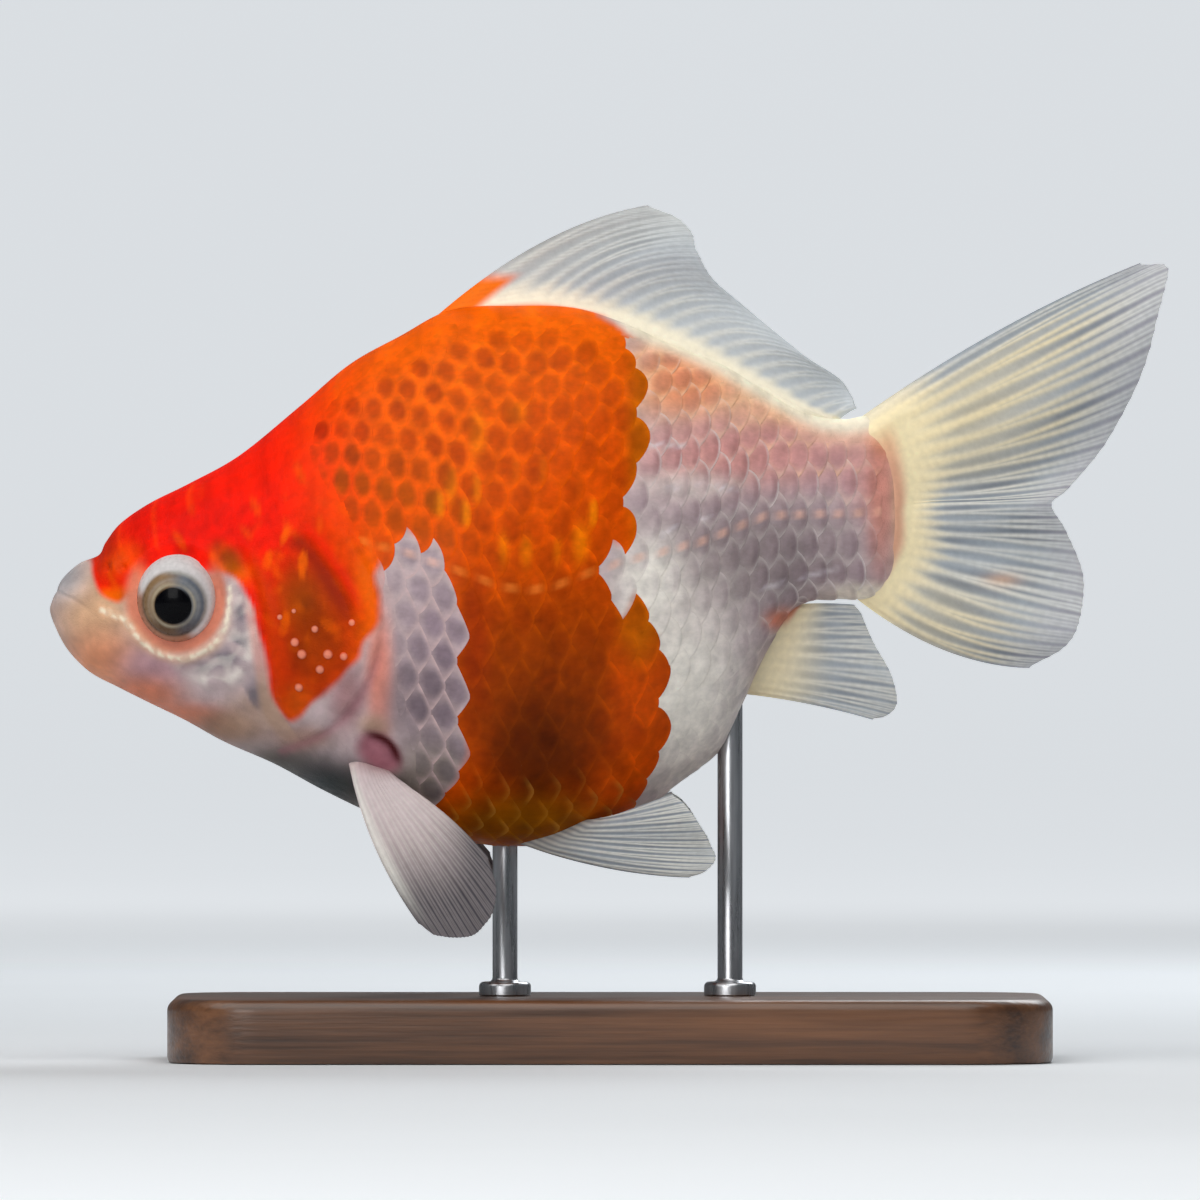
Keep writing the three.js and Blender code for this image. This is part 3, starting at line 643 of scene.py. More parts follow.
def nostril_relief(x, z):
    """A low mound with an inlet and an outlet, and the flap of skin between them."""
    off_x = x - NOSTRIL[0]
    off_z = z - NOSTRIL[1]
    lift = 0.34 * bell(np.hypot(off_x, off_z), 1.3)
    lift -= 0.42 * bell(np.hypot(off_x + 0.75, off_z - 0.1), 0.4)
    lift -= 0.4 * bell(np.hypot(off_x - 0.85, off_z - 0.1), 0.34)
    return lift + 0.2 * bell(np.hypot(off_x - 0.1, (off_z - 0.3) * 0.5), 0.3)


def eye_relief(x, z):
    """The raised rim round the eye and the beaded folds below and behind it."""
    ring, _ = eye_polar(x, z)
    cream, _ = line_distance(x, z, CREAM_LINE)
    white, along = line_distance(x, z, WHITE_LINE)
    ends = between(along, 0, 0.2, 0.8, 1)
    beads = 0.6 + 0.4 * mottle(x, z, 0.5, 15)
    folds = 0.1 * bell(cream, 0.45) * beads + 0.06 * ends * bell(white, 0.5)
    return 0.26 * bell(ring - 1.26, 0.14) + smooth(ring, 1.2, 1.35) * folds


def gill_relief(x, z):
    """The groove ahead of the cover, the cover's fold, its free edge and the hollow behind it."""
    front, along = line_distance(x, z, PREOPERCLE)
    ends = between(along, 0, 0.2, 0.9, 1)
    lift = ends * (0.1 * bell(front - 0.8, 0.5) - 0.2 * bell(front, 0.45))
    fold, along = line_distance(x, z, COVER_FOLD)
    ends = between(along, 0, 0.3, 0.6, 1)
    lift += ends * (0.1 * bell(fold - 0.7, 0.5) - 0.14 * bell(fold, 0.5))
    edge, along = line_distance(x, z, GILL_EDGE)
    ends = between(along, 0.02, 0.2, 0.8, 1)
    on_cover = between(edge, -4.0, -0.6, -0.3, 0.3)
    behind = np.exp(-np.maximum(edge, 0) / 1.1) * smooth(edge, -0.3, 0.3)
    return lift + ends * (0.26 * on_cover - 0.26 * behind)


def axil_place(x, z):
    """Distance from the pit's middle, 1 at its edge, and the share of it towards its upper rear."""
    along = (x - AXIL[0] - z + AXIL[1]) * math.sqrt(0.5) / AXIL_REACH[0]
    above = (x - AXIL[0] + z - AXIL[1]) * math.sqrt(0.5) / AXIL_REACH[1]
    return np.hypot(along, above), above


def shoulder_relief(x, z):
    """The bony band behind the gill cover, the fleshy root of the fin and the pit behind it."""
    band, along = line_distance(x, z, CLEITHRUM)
    lift = 0.2 * bell(band, 1.0) * smooth(along, 0, 0.3)
    lift += 0.6 * spot(x, z, FIN_LOBE, FIN_LOBE_REACH)
    pit, _ = axil_place(x, z)
    return lift - 0.45 * smooth(pit, 1.3, 0.6) + 0.2 * bell(pit, 0.5)


def head_relief(x, z):
    """How far the skin stands out from the plain loft."""
    parts = (mouth_relief, nostril_relief, eye_relief, gill_relief, shoulder_relief)
    return sum(part(x, z) for part in parts)


def seat_eyes(points):
    """Draws the skin in round the eyes, so that the globes stand in their sockets."""
    x, y, z = np.moveaxis(points, -1, 0)
    ring, _ = eye_polar(x, z)
    tilt = math.tan(EYE_TURN) * (x - EYE_CENTRE[0])
    rim = EYE_CENTRE[1] + tilt + np.where(ring < 0.86, -1.6, 0.4)
    seat = np.minimum(np.abs(y), rim)
    share = smooth(ring, 1.34, 1.0) * (np.abs(y) > 3)
    result = points.copy()
    result[..., 1] = np.sign(y) * (np.abs(y) * (1 - share) + seat * share)
    return result


def cheek_colour(colour, x, z, pale):
    """Adds the flesh ring round the eye, the cream and white lines and the slate patches."""
    ring, heading = eye_polar(x, z)
    beside, _ = line_distance(x, z, PREOPERCLE)
    cheek = pale * smooth(beside, 0.2, -0.8)
    white, along = line_distance(x, z, WHITE_LINE)
    streak = between(along, 0, 0.25, 0.9, 1) * bell(white, 0.6)
    pearly = smooth(white, -0.6, 0.4) * smooth(ring, 1.3, 1.5)
    pearly = pearly * smooth(x, -45, -40) * smooth(beside, -0.4, -1.2)
    slate = 0.85 * cheek * patchy(x, z, 1.3, 11, 0.9)
    flesh = bell(np.maximum(ring - 1.12, 0), 0.14) * smooth(np.sin(heading), 0.8, 0.4)
    cream, along = line_distance(x, z, CREAM_LINE)
    granules = 0.35 + 0.65 * patchy(x, z, 0.45, 14, 0.2)
    border = between(beside, -1.9, -1.0, -0.1, 0.3) * between(z, 31, 34, 44, 47)
    return layered(colour, [
        (PEARL, 0.7 * cheek * pearly),
        *((SLATE, slate * spot(x, z, middle, reach)) for middle, reach in SLATE_PATCHES),
        (WHITE, 0.55 * cheek * streak * patchy(x, z, 1.3, 12, 0.6)),
        (WHITE, 0.3 * cheek * pearly * patchy(x, z, 0.9, 13, -0.2)),
        (SALMON, 0.9 * flesh),
        (PEACH, 0.5 * cheek * bell(cream, 0.6) * smooth(along, 1, 0.7)),
        (CREAM, 0.8 * cheek * bell(cream, 0.3) * granules),
        (mixed(ROSE, BEIGE, smooth(z, 41, 37)), 0.75 * border * pale),
    ])


def gill_colour(colour, x, z, orange):
    """Adds the red and orange streaks of the gill cover, painted shade in the groove of its fold, and
    the soft hollow behind its edge.
    """
    fold, along = line_distance(x, z, COVER_FOLD)
    shade = orange * between(along, 0, 0.15, 0.6, 1)
    front, along = line_distance(x, z, PREOPERCLE)
    ends = orange * between(along, 0.05, 0.3, 0.7, 0.95)
    flecks = patchy(1.4 * x, z, 1.5, 17, -0.8)
    flecks = flecks * between(x, -36, -33, -28, -26) * between(z, 40, 46, 53, 55)
    edge, along = line_distance(x, z, GILL_EDGE)
    hollow = smooth(along, 0.5, 0.65) * bell(edge - 0.3, 0.5)
    return layered(colour, [
        # Painted shade in the groove along the cover's fold.
        (BRICK, 0.75 * shade * bell(fold + 0.5, 0.9)),
        (SCARLET, 0.6 * shade * bell(fold - 1.0, 0.7)),
        (GILL_RED, 0.75 * ends * bell(front - 0.8, 0.9)),
        (ORANGE, 0.7 * orange * flecks),
        (MAUVE, 0.45 * (1 - orange) * hollow),
    ])


def axil_colour(colour, x, z):
    """Adds the pit behind the fin's root: mauve flesh with painted shade along its upper and rear edge.
    """
    pit, above = axil_place(x, z)
    colour = mixed(colour, MAUVE, smooth(pit, 1.35, 0.7))
    # Painted shade on the pit's upper and rear edge.
    return mixed(colour, PIT_SHADE_MAROON, bell(pit - 0.75, 0.34) * smooth(above, -0.1, 0.6))


def head_details(colour, x, z, orange):
    """Adds the cheek, the gill cover, the nostril and the pit behind the fin."""
    colour = cheek_colour(colour, x, z, 1 - orange)
    colour = gill_colour(colour, x, z, orange)
    nostril = np.hypot(x - NOSTRIL[0], z - NOSTRIL[1])
    colour = mixed(colour, ORANGE, 0.3 * bell(nostril, 1.1))
    return axil_colour(colour, x, z)


def skin_colour(x, y, z):
    """The bare skin's colour at a point of the plain flesh."""
    ragged = 0.14 * mottle(x, z, 1.5, 7)
    orange = smooth(orange_depth(x, y, z) + ragged, -0.4, 0.5)
    colour = mixed(pale_tint(x, z), orange_tint(x, z, y), orange)
    return head_details(colour, x, z, orange)


# ---------------------------------------------------------------- mesh building


def grid_faces(rows, columns, wrap=False, start=0):
    """Quads of a grid of points kept row by row, and each corner's place in it from 0 to 1."""
    steps = columns if wrap else columns - 1
    row, column = np.divmod(np.arange((rows - 1) * steps), steps)
    corners = [(row, column), (row + 1, column), (row + 1, column + 1), (row, column + 1)]
    faces = np.stack([start + r * columns + c % columns for r, c in corners], 1)
    places = np.stack([np.stack([r / (rows - 1), c / steps], -1) for r, c in corners], 1)
    return faces, places


def grid_border(rows, columns):
    """The border of a grid of points as a ring: along its first row and down its first column."""
    return np.concatenate([
        np.arange(columns - 1),
        columns * np.arange(1, rows) - 1,
        (rows - 1) * columns + np.arange(columns - 1, 0, -1),
        columns * np.arange(rows - 1, 0, -1),
    ])


def skirt(first, second):
    """Quads between two rings of points."""
    return np.stack([first, np.roll(first, -1), np.roll(second, -1), second], 1)


class Build:
    """Points in mm, their colours, and faces with a bake place for each corner."""

    def __init__(self):
        self.points = []
        self.colours = []
        self.faces = []
        self.places = []
        self.extras = {}
        self.count = 0

    def add(self, points, colours, faces, places, **extras):
        """Adds a batch. Faces count from the batch's first point, and extras are numbers of points."""
        points = np.reshape(points, (-1, 3))
        self.points.append(points)
        self.colours.append(np.broadcast_to(colours, (len(points), 3)) if np.ndim(colours) == 1
                            else np.reshape(colours, (-1, 3)))
        self.faces.extend((np.asarray(faces) + self.count).tolist())
        self.places.append(np.reshape(places, (-1, 2)))
        for name, values in extras.items():
            self.extras.setdefault(name, []).append(np.ravel(values))
        self.count += len(points)

    def cap(self, corners):
        """Adds one flat face over a ring of points. It takes up no room in the bake."""
        self.faces.append(corners.tolist())
        self.places.append(np.zeros((len(corners), 2)))

    def tube(self, rings, colours, flipped=False, capped=True, **extras):
        """Adds rings of points joined into a tube, with a flat face over each end if it is capped.

        Its faces look outwards if the points run counterclockwise as seen from the last ring.
        """
        count, sides = rings.shape[:2]
        faces, places = grid_faces(count, sides, wrap=True)
        if not flipped:
            faces, places = faces[:, ::-1], places[:, ::-1]
        self.add(rings, colours, faces, places, **extras)
        if capped:
            self.cap(self.count - count * sides + np.arange(sides)[::-1])
            self.cap(self.count - sides + np.arange(sides))

    def finish(self, name, material, sharp=None):
        """Makes the object, smooth except over edges sharper than `sharp` radians."""
        mesh = bpy.data.meshes.new(name)
        mesh.from_pydata((np.concatenate(self.points) * MM).tolist(), [], self.faces)
        mesh.shade_smooth()
        if sharp:
            mesh.set_sharp_from_angle(angle=sharp)
        colour = np.concatenate(self.colours)
        rgba = np.concatenate([np.clip(colour, 0, 1), np.ones((len(colour), 1))], 1)
        tint = mesh.color_attributes.new("Tint", "FLOAT_COLOR", "POINT")
        tint.data.foreach_set("color", rgba.astype(np.float32).ravel())
        for key, batches in self.extras.items():
            values = np.concatenate(batches).astype(np.float32)
            mesh.attributes.new(key, "FLOAT", "POINT").data.foreach_set("value", values)
        layer = mesh.uv_layers.new(name="OFBake")
        layer.data.foreach_set("uv", np.concatenate(self.places).astype(np.float32).ravel())
        mesh.materials.append(material)
        piece = bpy.data.objects.new(name, mesh)
        bpy.context.scene.collection.objects.link(piece)
        return piece


def turned_rings(profile, x, sides):
    """Rings of points about an upright axis at x, from a profile of (radius, z)."""
    radius, height = np.array(profile, float).T
    turn = turns(sides)
    ring_x = x + radius[:, None] * np.cos(turn)
    ring_y = radius[:, None] * np.sin(turn)
    return np.stack([ring_x, ring_y, np.broadcast_to(height[:, None], ring_x.shape)], -1)


def arc(centre, radius, start, end, steps):
    """Points of an arc, from one angle in degrees to another."""
    turn = np.radians(np.linspace(start, end, steps))
    return [(centre[0] + radius * math.cos(a), centre[1] + radius * math.sin(a)) for a in turn]


def hand_over(piece, slot, *nodes):
    """Lets a finished piece ride on the model and stand for its solids, which it hides. The slot is not
    used.
    """
    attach(piece, "root")
    if nodes:
        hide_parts(*nodes)


# ---------------------------------------------------------------- materials


class Material:
    """A Principled material. Numbers that are the same all over sit on the shader's own sockets."""

    def __init__(self, name, **sockets):
        self.data = bpy.data.materials.new(name)
        self.data.use_nodes = True
        self.tree = self.data.node_tree
        self.shader = self.tree.nodes["Principled BSDF"]
        for socket, value in sockets.items():
            self.shader.inputs[socket.replace("_", " ")].default_value = value

    def node(self, kind, inputs=None, **settings):
        """Adds a node. An input's value is a number, a colour or another node's socket."""
        node = self.tree.nodes.new("ShaderNode" + kind)
        for setting, value in settings.items():
            setattr(node, setting, value)
        for key, value in (inputs or {}).items():
            if isinstance(value, bpy.types.NodeSocket):
                self.tree.links.new(value, node.inputs[key])
            else:
                node.inputs[key].default_value = value
        return node

    def link(self, socket, name):
        self.tree.links.new(socket, self.shader.inputs[name])

    def attribute(self, name, output="Fac"):
        return self.node("Attribute", attribute_name=name).outputs[output]

    def noise(self, scale, detail=3.0, stretch=(1, 1, 1)):
        """Noise from 0 to 1 over the model's own space; scale counts the patches in a metre."""
        place = self.node("TexCoord").outputs["Object"]
        place = self.node("Mapping", {"Vector": place, "Scale": stretch}).outputs["Vector"]
        return self.node("TexNoise", {"Vector": place, "Scale": scale, "Detail": detail}).outputs["Fac"]

    def ramp(self, value, low, high, low_to, high_to):
        """Follows a value from low to high with one from low_to to high_to."""
        names = ("Value", "From Min", "From Max", "To Min", "To Max")
        inputs = dict(zip(names, (value, low, high, low_to, high_to)))
        return self.node("MapRange", inputs, clamp=True).outputs["Result"]

    def math(self, operation, first, second):
        return self.node("Math", {0: first, 1: second}, operation=operation).outputs[0]

    def two_tones(self, value, low, high, dark_tint, light_tint):
        """Blends two tints between two values and links them to the base colour."""
        tones = self.node("ValToRGB", {"Fac": value})
        dark, light = tones.color_ramp.elements
        dark.position, dark.color = low, (*dark_tint, 1)
        light.position, light.color = high, (*light_tint, 1)
        self.link(tones.outputs["Color"], "Base Color")

    def tinted(self, factor):
        """Links the mesh's own tint, multiplied by a number socket, to the base colour."""
        tint = self.attribute("Tint", "Color")
        scaled = self.node("VectorMath", {0: tint, "Scale": factor}, operation="SCALE")
        self.link(scaled.outputs["Vector"], "Base Color")

    def rough(self, value, smoothest, roughest):
        """Links a roughness that follows a noise between two values."""
        self.link(self.ramp(value, 0.3, 0.7, smoothest, roughest), "Roughness")

    def bump(self, height, distance):
        """Bump whose full height is `distance` metres."""
        bump = self.node("Bump", {"Height": height, "Strength": 1.0, "Distance": distance})
        self.link(bump.outputs["Normal"], "Normal")


def flesh_material(name, coat_roughness, specular, depth, radius):
    """A wet, slightly translucent material. Light spreads in it over `radius`, in metres."""
    return Material(name, Coat_Weight=0.02, Coat_Roughness=coat_roughness, Specular_IOR_Level=specular,
                    Subsurface_Weight=depth, Subsurface_Radius=radius, Subsurface_Scale=1.0)


def skin_material():
    skin = flesh_material("fish_skin", 0.2, 0.05, 0.04, (0.0012, 0.0006, 0.0004))
    mottling = skin.noise(900, 4.0)
    pores = skin.noise(6500, 2.0)
    skin.tinted(skin.ramp(mottling, 0.25, 0.75, 0.88, 1.1))
    skin.rough(mottling, 0.42, 0.6)
    skin.bump(skin.math("ADD", pores, skin.math("MULTIPLY", mottling, 2.0)), 0.00006)
    return skin.data


def scale_material():
    scale = flesh_material("fish_scale", 0.16, 0.05, 0.03, (0.001, 0.0005, 0.0003))
    mottling = scale.noise(1100, 4.0)
    streaks = scale.noise(2600, 2.0, (0.5, 1, 1.3))
    grey = scale.math("MULTIPLY", scale.ramp(mottling, 0.25, 0.75, 0.84, 1.12),
                      scale.ramp(streaks, 0.3, 0.7, 0.97, 1.03))
    scale.tinted(grey)
    scale.rough(mottling, 0.38, 0.54)
    scale.bump(streaks, 0.00003)
    return scale.data


def fin_material():
    fin = flesh_material("fish_fin", 0.3, 0.12, 0.06, (0.001, 0.0009, 0.0008))
    along = fin.attribute("Along")
    ray = fin.attribute("Ray")
    joints = fin.math("SINE", fin.math("MULTIPLY", along, 2 * math.pi / SEGMENT), 0.0)
    joints = fin.math("MULTIPLY", joints, ray)
    film = fin.noise(1500, 4.0)
    shade = fin.ramp(film, 0.2, 0.8, 0.92, 1.07)
    fin.tinted(fin.math("ADD", shade, fin.math("MULTIPLY", joints, 0.015)))
    fin.rough(film, 0.42, 0.56)
    fin.bump(fin.math("ADD", film, fin.math("MULTIPLY", joints, 0.15)), 0.00004)
    return fin.data


def eye_material():
    eye = Material("fish_eye", Coat_Weight=0.06, Coat_Roughness=0.06, Specular_IOR_Level=0.06)
    film = eye.noise(2200, 4.0)
    eye.tinted(eye.ramp(film, 0.25, 0.75, 0.9, 1.08))
    eye.rough(film, 0.24, 0.34)
    return eye.data


def wood_material():
    wood = Material("stand_wood", Coat_Weight=0.35, Coat_Roughness=0.2)
    grain = wood.noise(420, 6.0, (0.07, 1, 1.2))
    fibre = wood.noise(2600, 4.0, (0.03, 1, 1))
    figure = wood.math("ADD", wood.math("MULTIPLY", grain, 0.75), wood.math("MULTIPLY", fibre, 0.25))
    wood.two_tones(figure, 0.34, 0.68, srgb(50, 30, 18), srgb(120, 78, 48))
    wood.rough(fibre, 0.3, 0.46)
    wood.bump(fibre, 0.00006)
    return wood.data


def steel_material():
    steel = Material("stand_steel", Metallic=1.0)
    brushing = steel.noise(1800, 3.0, (1, 1, 0.05))
    steel.two_tones(brushing, 0.3, 0.7, srgb(168, 170, 174), srgb(208, 210, 214))
    steel.rough(brushing, 0.24, 0.36)
    return steel.data


def floor_material():
    floor = Material("studio_paper", Roughness=0.85, Emission_Color=(0.93, 0.965, 1.0, 1))
    floor.two_tones(floor.noise(6, 3.0), 0.0, 1.0, srgb(214, 218, 222), srgb(222, 226, 230))
    floor.link(floor.attribute("Glow"), "Emission Strength")
    return floor.data


# ---------------------------------------------------------------- skin

SKIN_START, SKIN_END = 0.002, 0.998  # places of the first and the last ring
HEAD_END = 0.46  # share of the sections that the head takes
HEAD_RINGS = 215
BODY_RINGS = 105
SKIN_SIDES = 298
FLANK_FOCUS = 0.15  # how much closer the sides lie on the flanks than on the back and belly


def close_skin(build, ring, pole_t, colour):
    """Closes one end of the skin with a fan round its pole. The fan takes up no room in the bake."""
    pole = body_point(np.array([pole_t]), np.zeros(1))
    build.add(pole, colour, np.zeros((0, 3), int), np.zeros((0, 2)))
    first = ring * SKIN_SIDES + np.arange(SKIN_SIDES)
    second = np.roll(first, -1)
    tip = np.full(SKIN_SIDES, build.count - 1)
    fan = [tip, second, first] if ring else [tip, first, second]
    place = np.stack([np.full(SKIN_SIDES, pole_t), np.arange(SKIN_SIDES) / SKIN_SIDES], 1)
    build.faces.extend(np.stack(fan, 1).tolist())
    build.places.append(np.repeat(place, 3, axis=0))


def build_skin(material):
    head = np.linspace(SKIN_START, HEAD_END, HEAD_RINGS, endpoint=False)
    t = np.concatenate([head, np.linspace(HEAD_END, SKIN_END, BODY_RINGS)])
    turn = turns(SKIN_SIDES)
    angle = turn + FLANK_FOCUS * np.sin(2 * turn)
    place, heading = np.meshgrid(t, angle, indexing="ij")
    base = body_point(place, heading)
    forward = np.gradient(base, axis=0)
    round_it = (np.roll(base, -1, axis=1) - np.roll(base, 1, axis=1)) / 2
    outward = unit(np.cross(forward, round_it))
    x, y, z = np.moveaxis(base, -1, 0)
    lift = head_relief(x, z) - coat_depth(x, z)
    points = seat_eyes(base + outward * lift[..., None])
    colours = skin_colour(x, y, z)
    build = Build()
    build.tube(points, colours, flipped=True, capped=False)
    close_skin(build, 0, 0.0, colours[0, :1])
    close_skin(build, len(t) - 1, 1.0, colours[-1, :1])
    flesh = ("head", "lower_jaw", "gill_cover_left", "gill_cover_right", "trunk", "tail_stem")
    hand_over(build.finish("skin", material), "orange_skin", *flesh)


# ---------------------------------------------------------------- scales

ROW = 3.05  # distance between rows
SCALE_LENGTH = 1.85  # a scale's length, as a share of its pitch
SCALE_HALF_WIDTH = 0.92  # as a share of the distance between rows
SCALE_GRID = (12, 14)  # points along a scale and across it
CELL_FILL = np.array([0.8, 0.42])  # how much of its cell of the bake it takes up
ROOT_DEPTH = 0.04  # how far a scale's root lies under the skin
PLATE = 0.14  # how far its underside lies under the skin
BACK_MARGIN = 3.0  # bare skin beside the dorsal fin
BLEND = 1.1  # how far in the first scales take on their own colours
SOFT_ENDS = 2.4  # how much further in that reaches for the pale scales at both ends of the coat
STEM_END = 27.2  # the last scales' x
SHOULDER_END = -14.0  # ahead of this the scales follow the head's relief
HIDDEN_DEPTH = 1.0  # how far a root sinks where it reaches past the scaled area
TOP_ROOM = 1.3 * ROW  # with less room than this above them, scales melt into the bare back
TUBE_LIFT = 0.1  # how far the lateral line's tubes stand up
UNDER_SHADE = 0.8  # how bright a scale's hidden underside is, beside its top
BELLY_WHITE = (6, 37)
BELLY_WHITE_REACH = (7, 12)
SEED = 20

# Factors that darken or brighten parts of a scale's tint.
SPOT_SHADE = np.array([0.5, 0.38, 0.3])
LOW_SHADE = np.array([0.7, 0.58, 0.6])
LOW_GLOW = np.array([1.5, 1.6, 1.4])
PATCH_SHADE = np.array([0.62, 0.6, 0.68])
OVAL_SHADE = np.array([0.74, 0.66, 0.76])
CRESCENT_SHADE = np.array([0.58, 0.52, 0.58])

BORDER_PINK = srgb(208, 180, 180)
# LINE_WHITE serves both the painted highlight lines on scale edges and the pale gaps between scales.
LINE_WHITE = srgb(234, 222, 220)
# Painted highlights on the lateral line's tubes.
TUBE_GLINT_PINK = srgb(255, 196, 170)
TUBE_GLINT_ORANGE = srgb(255, 140, 50)

# One scale's middle, its distance up from the lateral line, how far it lies inside the scaled area,
# the width of scaled skin above it, whether it is orange, and a random number from 0 to 1.
Scale = namedtuple("Scale", "x z rise inside above orange luck")


def pitch(x):
    """The distance between scales along the body."""
    return 2.05 + 0.5 * smooth(x, -27, -17) - 0.6 * smooth(x, 1, 8)


def oval(along, across, half_length, half_width):
    """Distance from the middle of a scale's open part, 1 on an oval round it."""
    return np.hypot((along + 0.5) / half_length, across / half_width)


def orange_scale(x, z, along, across, from_edge, scale):
    """Dark ovals in a bright net above, faint tall diamonds below, golden rims on the belly, and
    painted amber glints in a band above the lateral line.
    """
    tint = orange_tint(x, z)
    upper = smooth(scale.rise, 0.5, 4.5)
    lower = 1 - upper
    rear = smooth(scale.x, -18, -3)
    away = oval(along, across, 0.34 + 0.1 * rear, 0.46 + 0.12 * rear)
    olive = smooth(scale.rise, 12, 6) * smooth(scale.x, -12, -18)
    dark = mixed(tint * SPOT_SHADE, OLIVE_BROWN, 0.6 * olive)
    below_back = smooth(back_height(scale.x) - scale.z, 1.5, 4.5)
    strength = (0.9 - 0.28 * rear * smooth(scale.rise, 25, 20)) * (0.7 + 0.3 * scale.luck)
    border = lower * bell(from_edge - 0.1, 0.24) * patchy(x, z, 2.6, 41, 0.1)
    # A painted glint: a bright amber bar across the front of the scales in a band of the upper flank.
    band = between(scale.x, -20, -17, 0, 2) * between(scale.z, 48.5, 51, 55, 61)
    glint_bar = bell(along + 0.22, 0.16) * smooth(np.abs(across), 0.7, 0.25)
    rim = smooth(scale.z, 29, 25.5) * bell(from_edge, 0.4) * smooth(np.abs(across), 0.8, 0.2)
    return layered(tint, [
        (dark, strength * below_back * upper * smooth(away, 1.45, 0.65)),
        (tint * LOW_SHADE, lower * smooth(away, 1.5, 0.5) * (0.25 + 0.5 * scale.luck)),
        (tint * LOW_GLOW, 0.4 * border),
        (AMBER_GLINT, 0.8 * band * glint_bar * smooth(scale.luck, 0.4, 0.9)),
        (RIM_GOLD, rim * (0.2 + 0.6 * scale.luck)),
    ])


def pale_scale(x, z, along, across, from_edge, scale):
    """Grey-lilac scales with pale borders in front, dark rear crescents behind, and a plain belly."""
    tint = pale_tint(x, z)
    patch = smooth(scale.x, -8, -11)
    belly = spot(scale.x, scale.z, BELLY_WHITE, BELLY_WHITE_REACH) * (1 - patch)
    rear = (1 - patch) * (1 - belly)
    top = smooth(back_height(scale.x) - scale.z, 9, 4) * (1 - patch)
    away = oval(along, across, 0.42, 0.46)
    middle = smooth(away, 1.4, 0.6)
    uneven = 0.6 + 0.4 * scale.luck
    crescent = bell(from_edge - 0.34, 0.32) * smooth(np.abs(across), 0.65, 0.3)
    border = 0.6 * bell(from_edge, 0.3) + 0.35 * smooth(away, 1.0, 1.6)
    # A painted highlight: a thin white line along the free edges of the rear and belly scales.
    line = bell(from_edge, 0.13) * (0.15 + 0.75 * scale.luck ** 2) * patchy(x, z, 1.6, 42, 0.4)
    gap = smooth(away, 1.1, 1.7) * (1 - patch)
    return layered(tint, [
        (tint * PATCH_SHADE, 0.95 * patch * uneven * middle),
        (tint * OVAL_SHADE, (0.45 * rear + 0.4 * top) * uneven * middle),
        (tint * CRESCENT_SHADE, 0.8 * rear * (1 - 0.5 * top) * uneven * crescent),
        (BORDER_PINK, patch * border),
        (LINE_WHITE, line * (1 - 0.6 * top) * (rear + 0.25 * belly)),
        (mixed(LINE_WHITE, PEACH, 0.9 * top), gap * (0.2 * rear + 0.4 * top)),
    ])


def scale_faces():
    """Faces of a scale's top, of its edge down to the underside, and of the underside."""
    long_steps, wide_steps = SCALE_GRID
    top, _ = grid_faces(long_steps, wide_steps)
    ring = grid_border(long_steps, wide_steps)
    under = long_steps * wide_steps + np.arange(len(ring))
    loop = np.roll(under, -(wide_steps // 2))
    right, left = loop[:len(loop) // 2], loop[::-1][:len(loop) // 2]
    bottom = np.stack([left[:-1], right[:-1], right[1:], left[1:]], 1)
    return np.concatenate([top, skirt(ring, under), bottom]), ring


def scale_outline(q, length, pointed):
    """How far the free edge lies ahead of the scale's tip, at the share q of the half width."""
    round_edge = -0.85 * ROW * (1 - np.sqrt(1 - (0.94 * q) ** 2))
    pointed_edge = -0.55 * length * np.abs(q) ** 1.25
    return round_edge * (1 - pointed) + pointed_edge * pointed


def room_above(flank, x, rise):
    """The width of scaled skin above a place, more than a row where the next row covers it."""
    near_x = x + 0.5 * pitch(x) * np.array([-1, 0, 1])
    room = np.interp(near_x, flank.x, flank.back) - BACK_MARGIN - rise
    next_row = flank.at(near_x, np.full(3, rise + ROW))[0]
    return min(room.min(), ROW + depth_inside(near_x, next_row[:, 2], SCALED_AREA).min())


def place_scales(flank, random):
    """Yields each scale, its tip's x, its small irregularities and its cell of the bake."""
    counted = np.concatenate([[0], np.cumsum(Flank.STEP / pitch(flank.x[:-1] + Flank.STEP / 2))])
    rows = range(math.ceil(flank.belly.min() / ROW), math.floor(flank.back.max() / ROW) + 1)
    for row in rows:
        for column in range(int(counted[-1]) + 1):
            place = column + 0.5 * (row % 2)
            jitter = random.uniform(-1, 1, 6)
            tip_x = np.interp(place + 0.05 * jitter[0], counted, flank.x)
            x = tip_x - pitch(tip_x) / 2
            rise = row * ROW
            belly, back = (np.interp(x, flank.x, limit) for limit in (flank.belly, flank.back))
            if not (flank.x[0] < x < STEM_END and belly - 0.3 * ROW <= rise <= back - BACK_MARGIN):
                continue
            spot_x, spot_rise = np.array([x]), np.array([rise])
            _, y, z = flank.at(spot_x, spot_rise)[0].T
            inside = depth_inside(spot_x, z, SCALED_AREA)[0]
            if inside < 0:
                continue
            orange = orange_depth(spot_x, y, z)[0] > 0
            cells = np.array([counted[-1] + 2, len(rows) + 1])
            cell = np.array([place + 0.5, row - rows[0] + 0.5]) / cells
            above = room_above(flank, x, rise)
            scale = Scale(x, z[0], rise, inside, above, orange, (1 + jitter[5]) / 2)
            yield scale, tip_x, jitter, cell, CELL_FILL / cells


def coat_tables(flank):
    """How deep the skin lies under the coat, and how far roots sink past the coat's border."""
    x, z = flank.points[..., 0], flank.points[..., 2]
    outside = smooth(depth_inside(x, z, SCALED_AREA), 0.3, -0.6)
    return coat_depth(x, z)[..., None], HIDDEN_DEPTH * outside[..., None]


